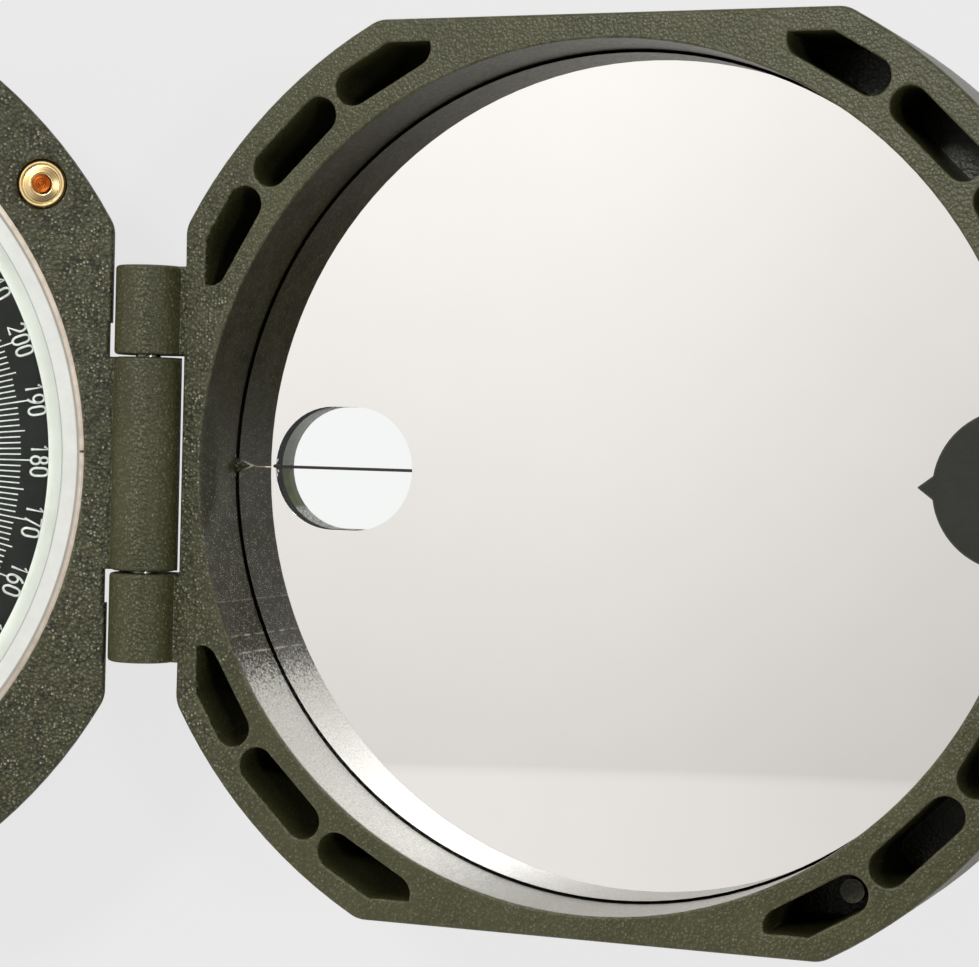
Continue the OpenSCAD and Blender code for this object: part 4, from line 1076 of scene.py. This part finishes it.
# Studio: pale floor, two soft boxes, and a sky with a white card where the mirror looks
FLOOR_DROP = 0.02
SEEN_SHARE = 0.9
BACKDROP, THROUGH_WINDOW = srgb(236, 236, 236), srgb(250, 250, 250)
bpy.ops.mesh.primitive_plane_add(size=6, location=(0, 0, -FLOOR_DROP * MM))
floor = bpy.context.object
floor.name = "floor"
f = Finish("pale floor")
f.colour(BACKDROP)
f.rough(0.9)
f.set(Specular_IOR_Level=0.0)
glow = f.node("ShaderNodeEmission")
glow.inputs[0].default_value = BACKDROP
bright = f.node("ShaderNodeEmission")
bright.inputs[0].default_value = THROUGH_WINDOW
path = f.node("ShaderNodeLightPath")
seen = f.node("ShaderNodeMixShader")
f.wire(f.times(path.outputs["Is Camera Ray"], SEEN_SHARE), seen, 0)
f.link(f.shader.outputs[0], seen.inputs[1])
f.link(glow.outputs[0], seen.inputs[2])
through = f.node("ShaderNodeMixShader")
f.wire(path.outputs["Is Transmission Ray"], through, 0)
f.link(seen.outputs[0], through.inputs[1])
f.link(bright.outputs[0], through.inputs[2])
f.link(through.outputs[0], f.out.inputs["Surface"])
floor.data.materials.append(f.material)


LAMP_AIM, LAMP_AWAY = Vector((0.04, 0, 0.02)), 0.9


def soft_box(name, direction, size, power):
    data = bpy.data.lights.new(name, "AREA")
    data.shape, data.size, data.energy = "SQUARE", size, power
    lamp = bpy.data.objects.new(name, data)
    d = Vector(direction).normalized()
    lamp.location = LAMP_AIM + d * LAMP_AWAY
    lamp.rotation_euler = d.to_track_quat("Z", "Y").to_euler()
    bpy.context.scene.collection.objects.link(lamp)


soft_box("upper left box", (-0.36, 0.37, 0.86), 0.13, 3.0)
soft_box("right box", (0.42, 0.05, 0.9), 0.1, 1.5)

world = bpy.data.worlds.new("studio")
bpy.context.scene.world = world
world.use_nodes = True
sky = world.node_tree
sky.nodes.clear()


def sky_node(kind, **values):
    node = sky.nodes.new(kind)
    for key, value in values.items():
        setattr(node, key, value)
    return node


def sky_math(kind, a, b):
    node = sky_node("ShaderNodeMath", operation=kind)
    for i, v in enumerate((a, b)):
        if isinstance(v, bpy.types.NodeSocket):
            sky.links.new(v, node.inputs[i])
        else:
            node.inputs[i].default_value = v
    return node.outputs[0]


def sky_span(value, low, high, to_low, to_high, kind="SMOOTHSTEP"):
    node = sky_node("ShaderNodeMapRange", interpolation_type=kind)
    sky.links.new(value, node.inputs["Value"])
    for key, v in (("From Min", low), ("From Max", high), ("To Min", to_low), ("To Max", to_high)):
        node.inputs[key].default_value = v
    return node.outputs[0]


# White card in the west, where the mirror looks, in a room that darkens overhead
CARD_LEVEL = 1.04
WARM_WHITE = (1.0, 0.972, 0.945, 1.0)
where = sky_node("ShaderNodeTexCoord")
split = sky_node("ShaderNodeSeparateXYZ")
sky.links.new(where.outputs["Generated"], split.inputs[0])
east, north, up = split.outputs
# The card is brighter to the north, and paler again south of a soft step
card_tone = sky_span(north, -0.12, 0.12, 0.69, 0.98, "LINEAR")
card_tone = sky_math("MAXIMUM", card_tone, sky_span(north, -0.1, -0.124, 0.0, 0.8))
card_tone = sky_math("MULTIPLY", card_tone, sky_span(east, -0.66, -0.5, CARD_LEVEL, 0.82 * CARD_LEVEL))
card = sky_span(east, -0.28, -0.5, 0.0, 1.0)
room = sky_span(up, 0.5, 0.88, 0.7, 0.05)
room = sky_math("MULTIPLY", room, sky_span(up, -0.2, 0.2, 0.6, 1.0))
level = sky_math("ADD", sky_math("MULTIPLY", card, card_tone),
                 sky_math("MULTIPLY", sky_math("SUBTRACT", 1.0, card), room))
shade = sky_node("ShaderNodeBackground")
shade.inputs["Color"].default_value = WARM_WHITE
sky.links.new(level, shade.inputs["Strength"])
plain = sky_node("ShaderNodeBackground")
plain.inputs["Color"].default_value = BACKDROP
clear = sky_node("ShaderNodeBackground")
clear.inputs["Color"].default_value = THROUGH_WINDOW
ray = sky_node("ShaderNodeLightPath")
first = sky_node("ShaderNodeMixShader")
second = sky_node("ShaderNodeMixShader")
sky.links.new(ray.outputs["Is Camera Ray"], first.inputs[0])
sky.links.new(shade.outputs[0], first.inputs[1])
sky.links.new(plain.outputs[0], first.inputs[2])
below = sky_math("MULTIPLY", ray.outputs["Is Transmission Ray"], sky_math("LESS_THAN", up, 0.0))
sky.links.new(below, second.inputs[0])
sky.links.new(first.outputs[0], second.inputs[1])
sky.links.new(clear.outputs[0], second.inputs[2])
sky.links.new(second.outputs[0], sky_node("ShaderNodeOutputWorld").inputs["Surface"])

bpy.context.scene.view_settings.view_transform = "Standard"
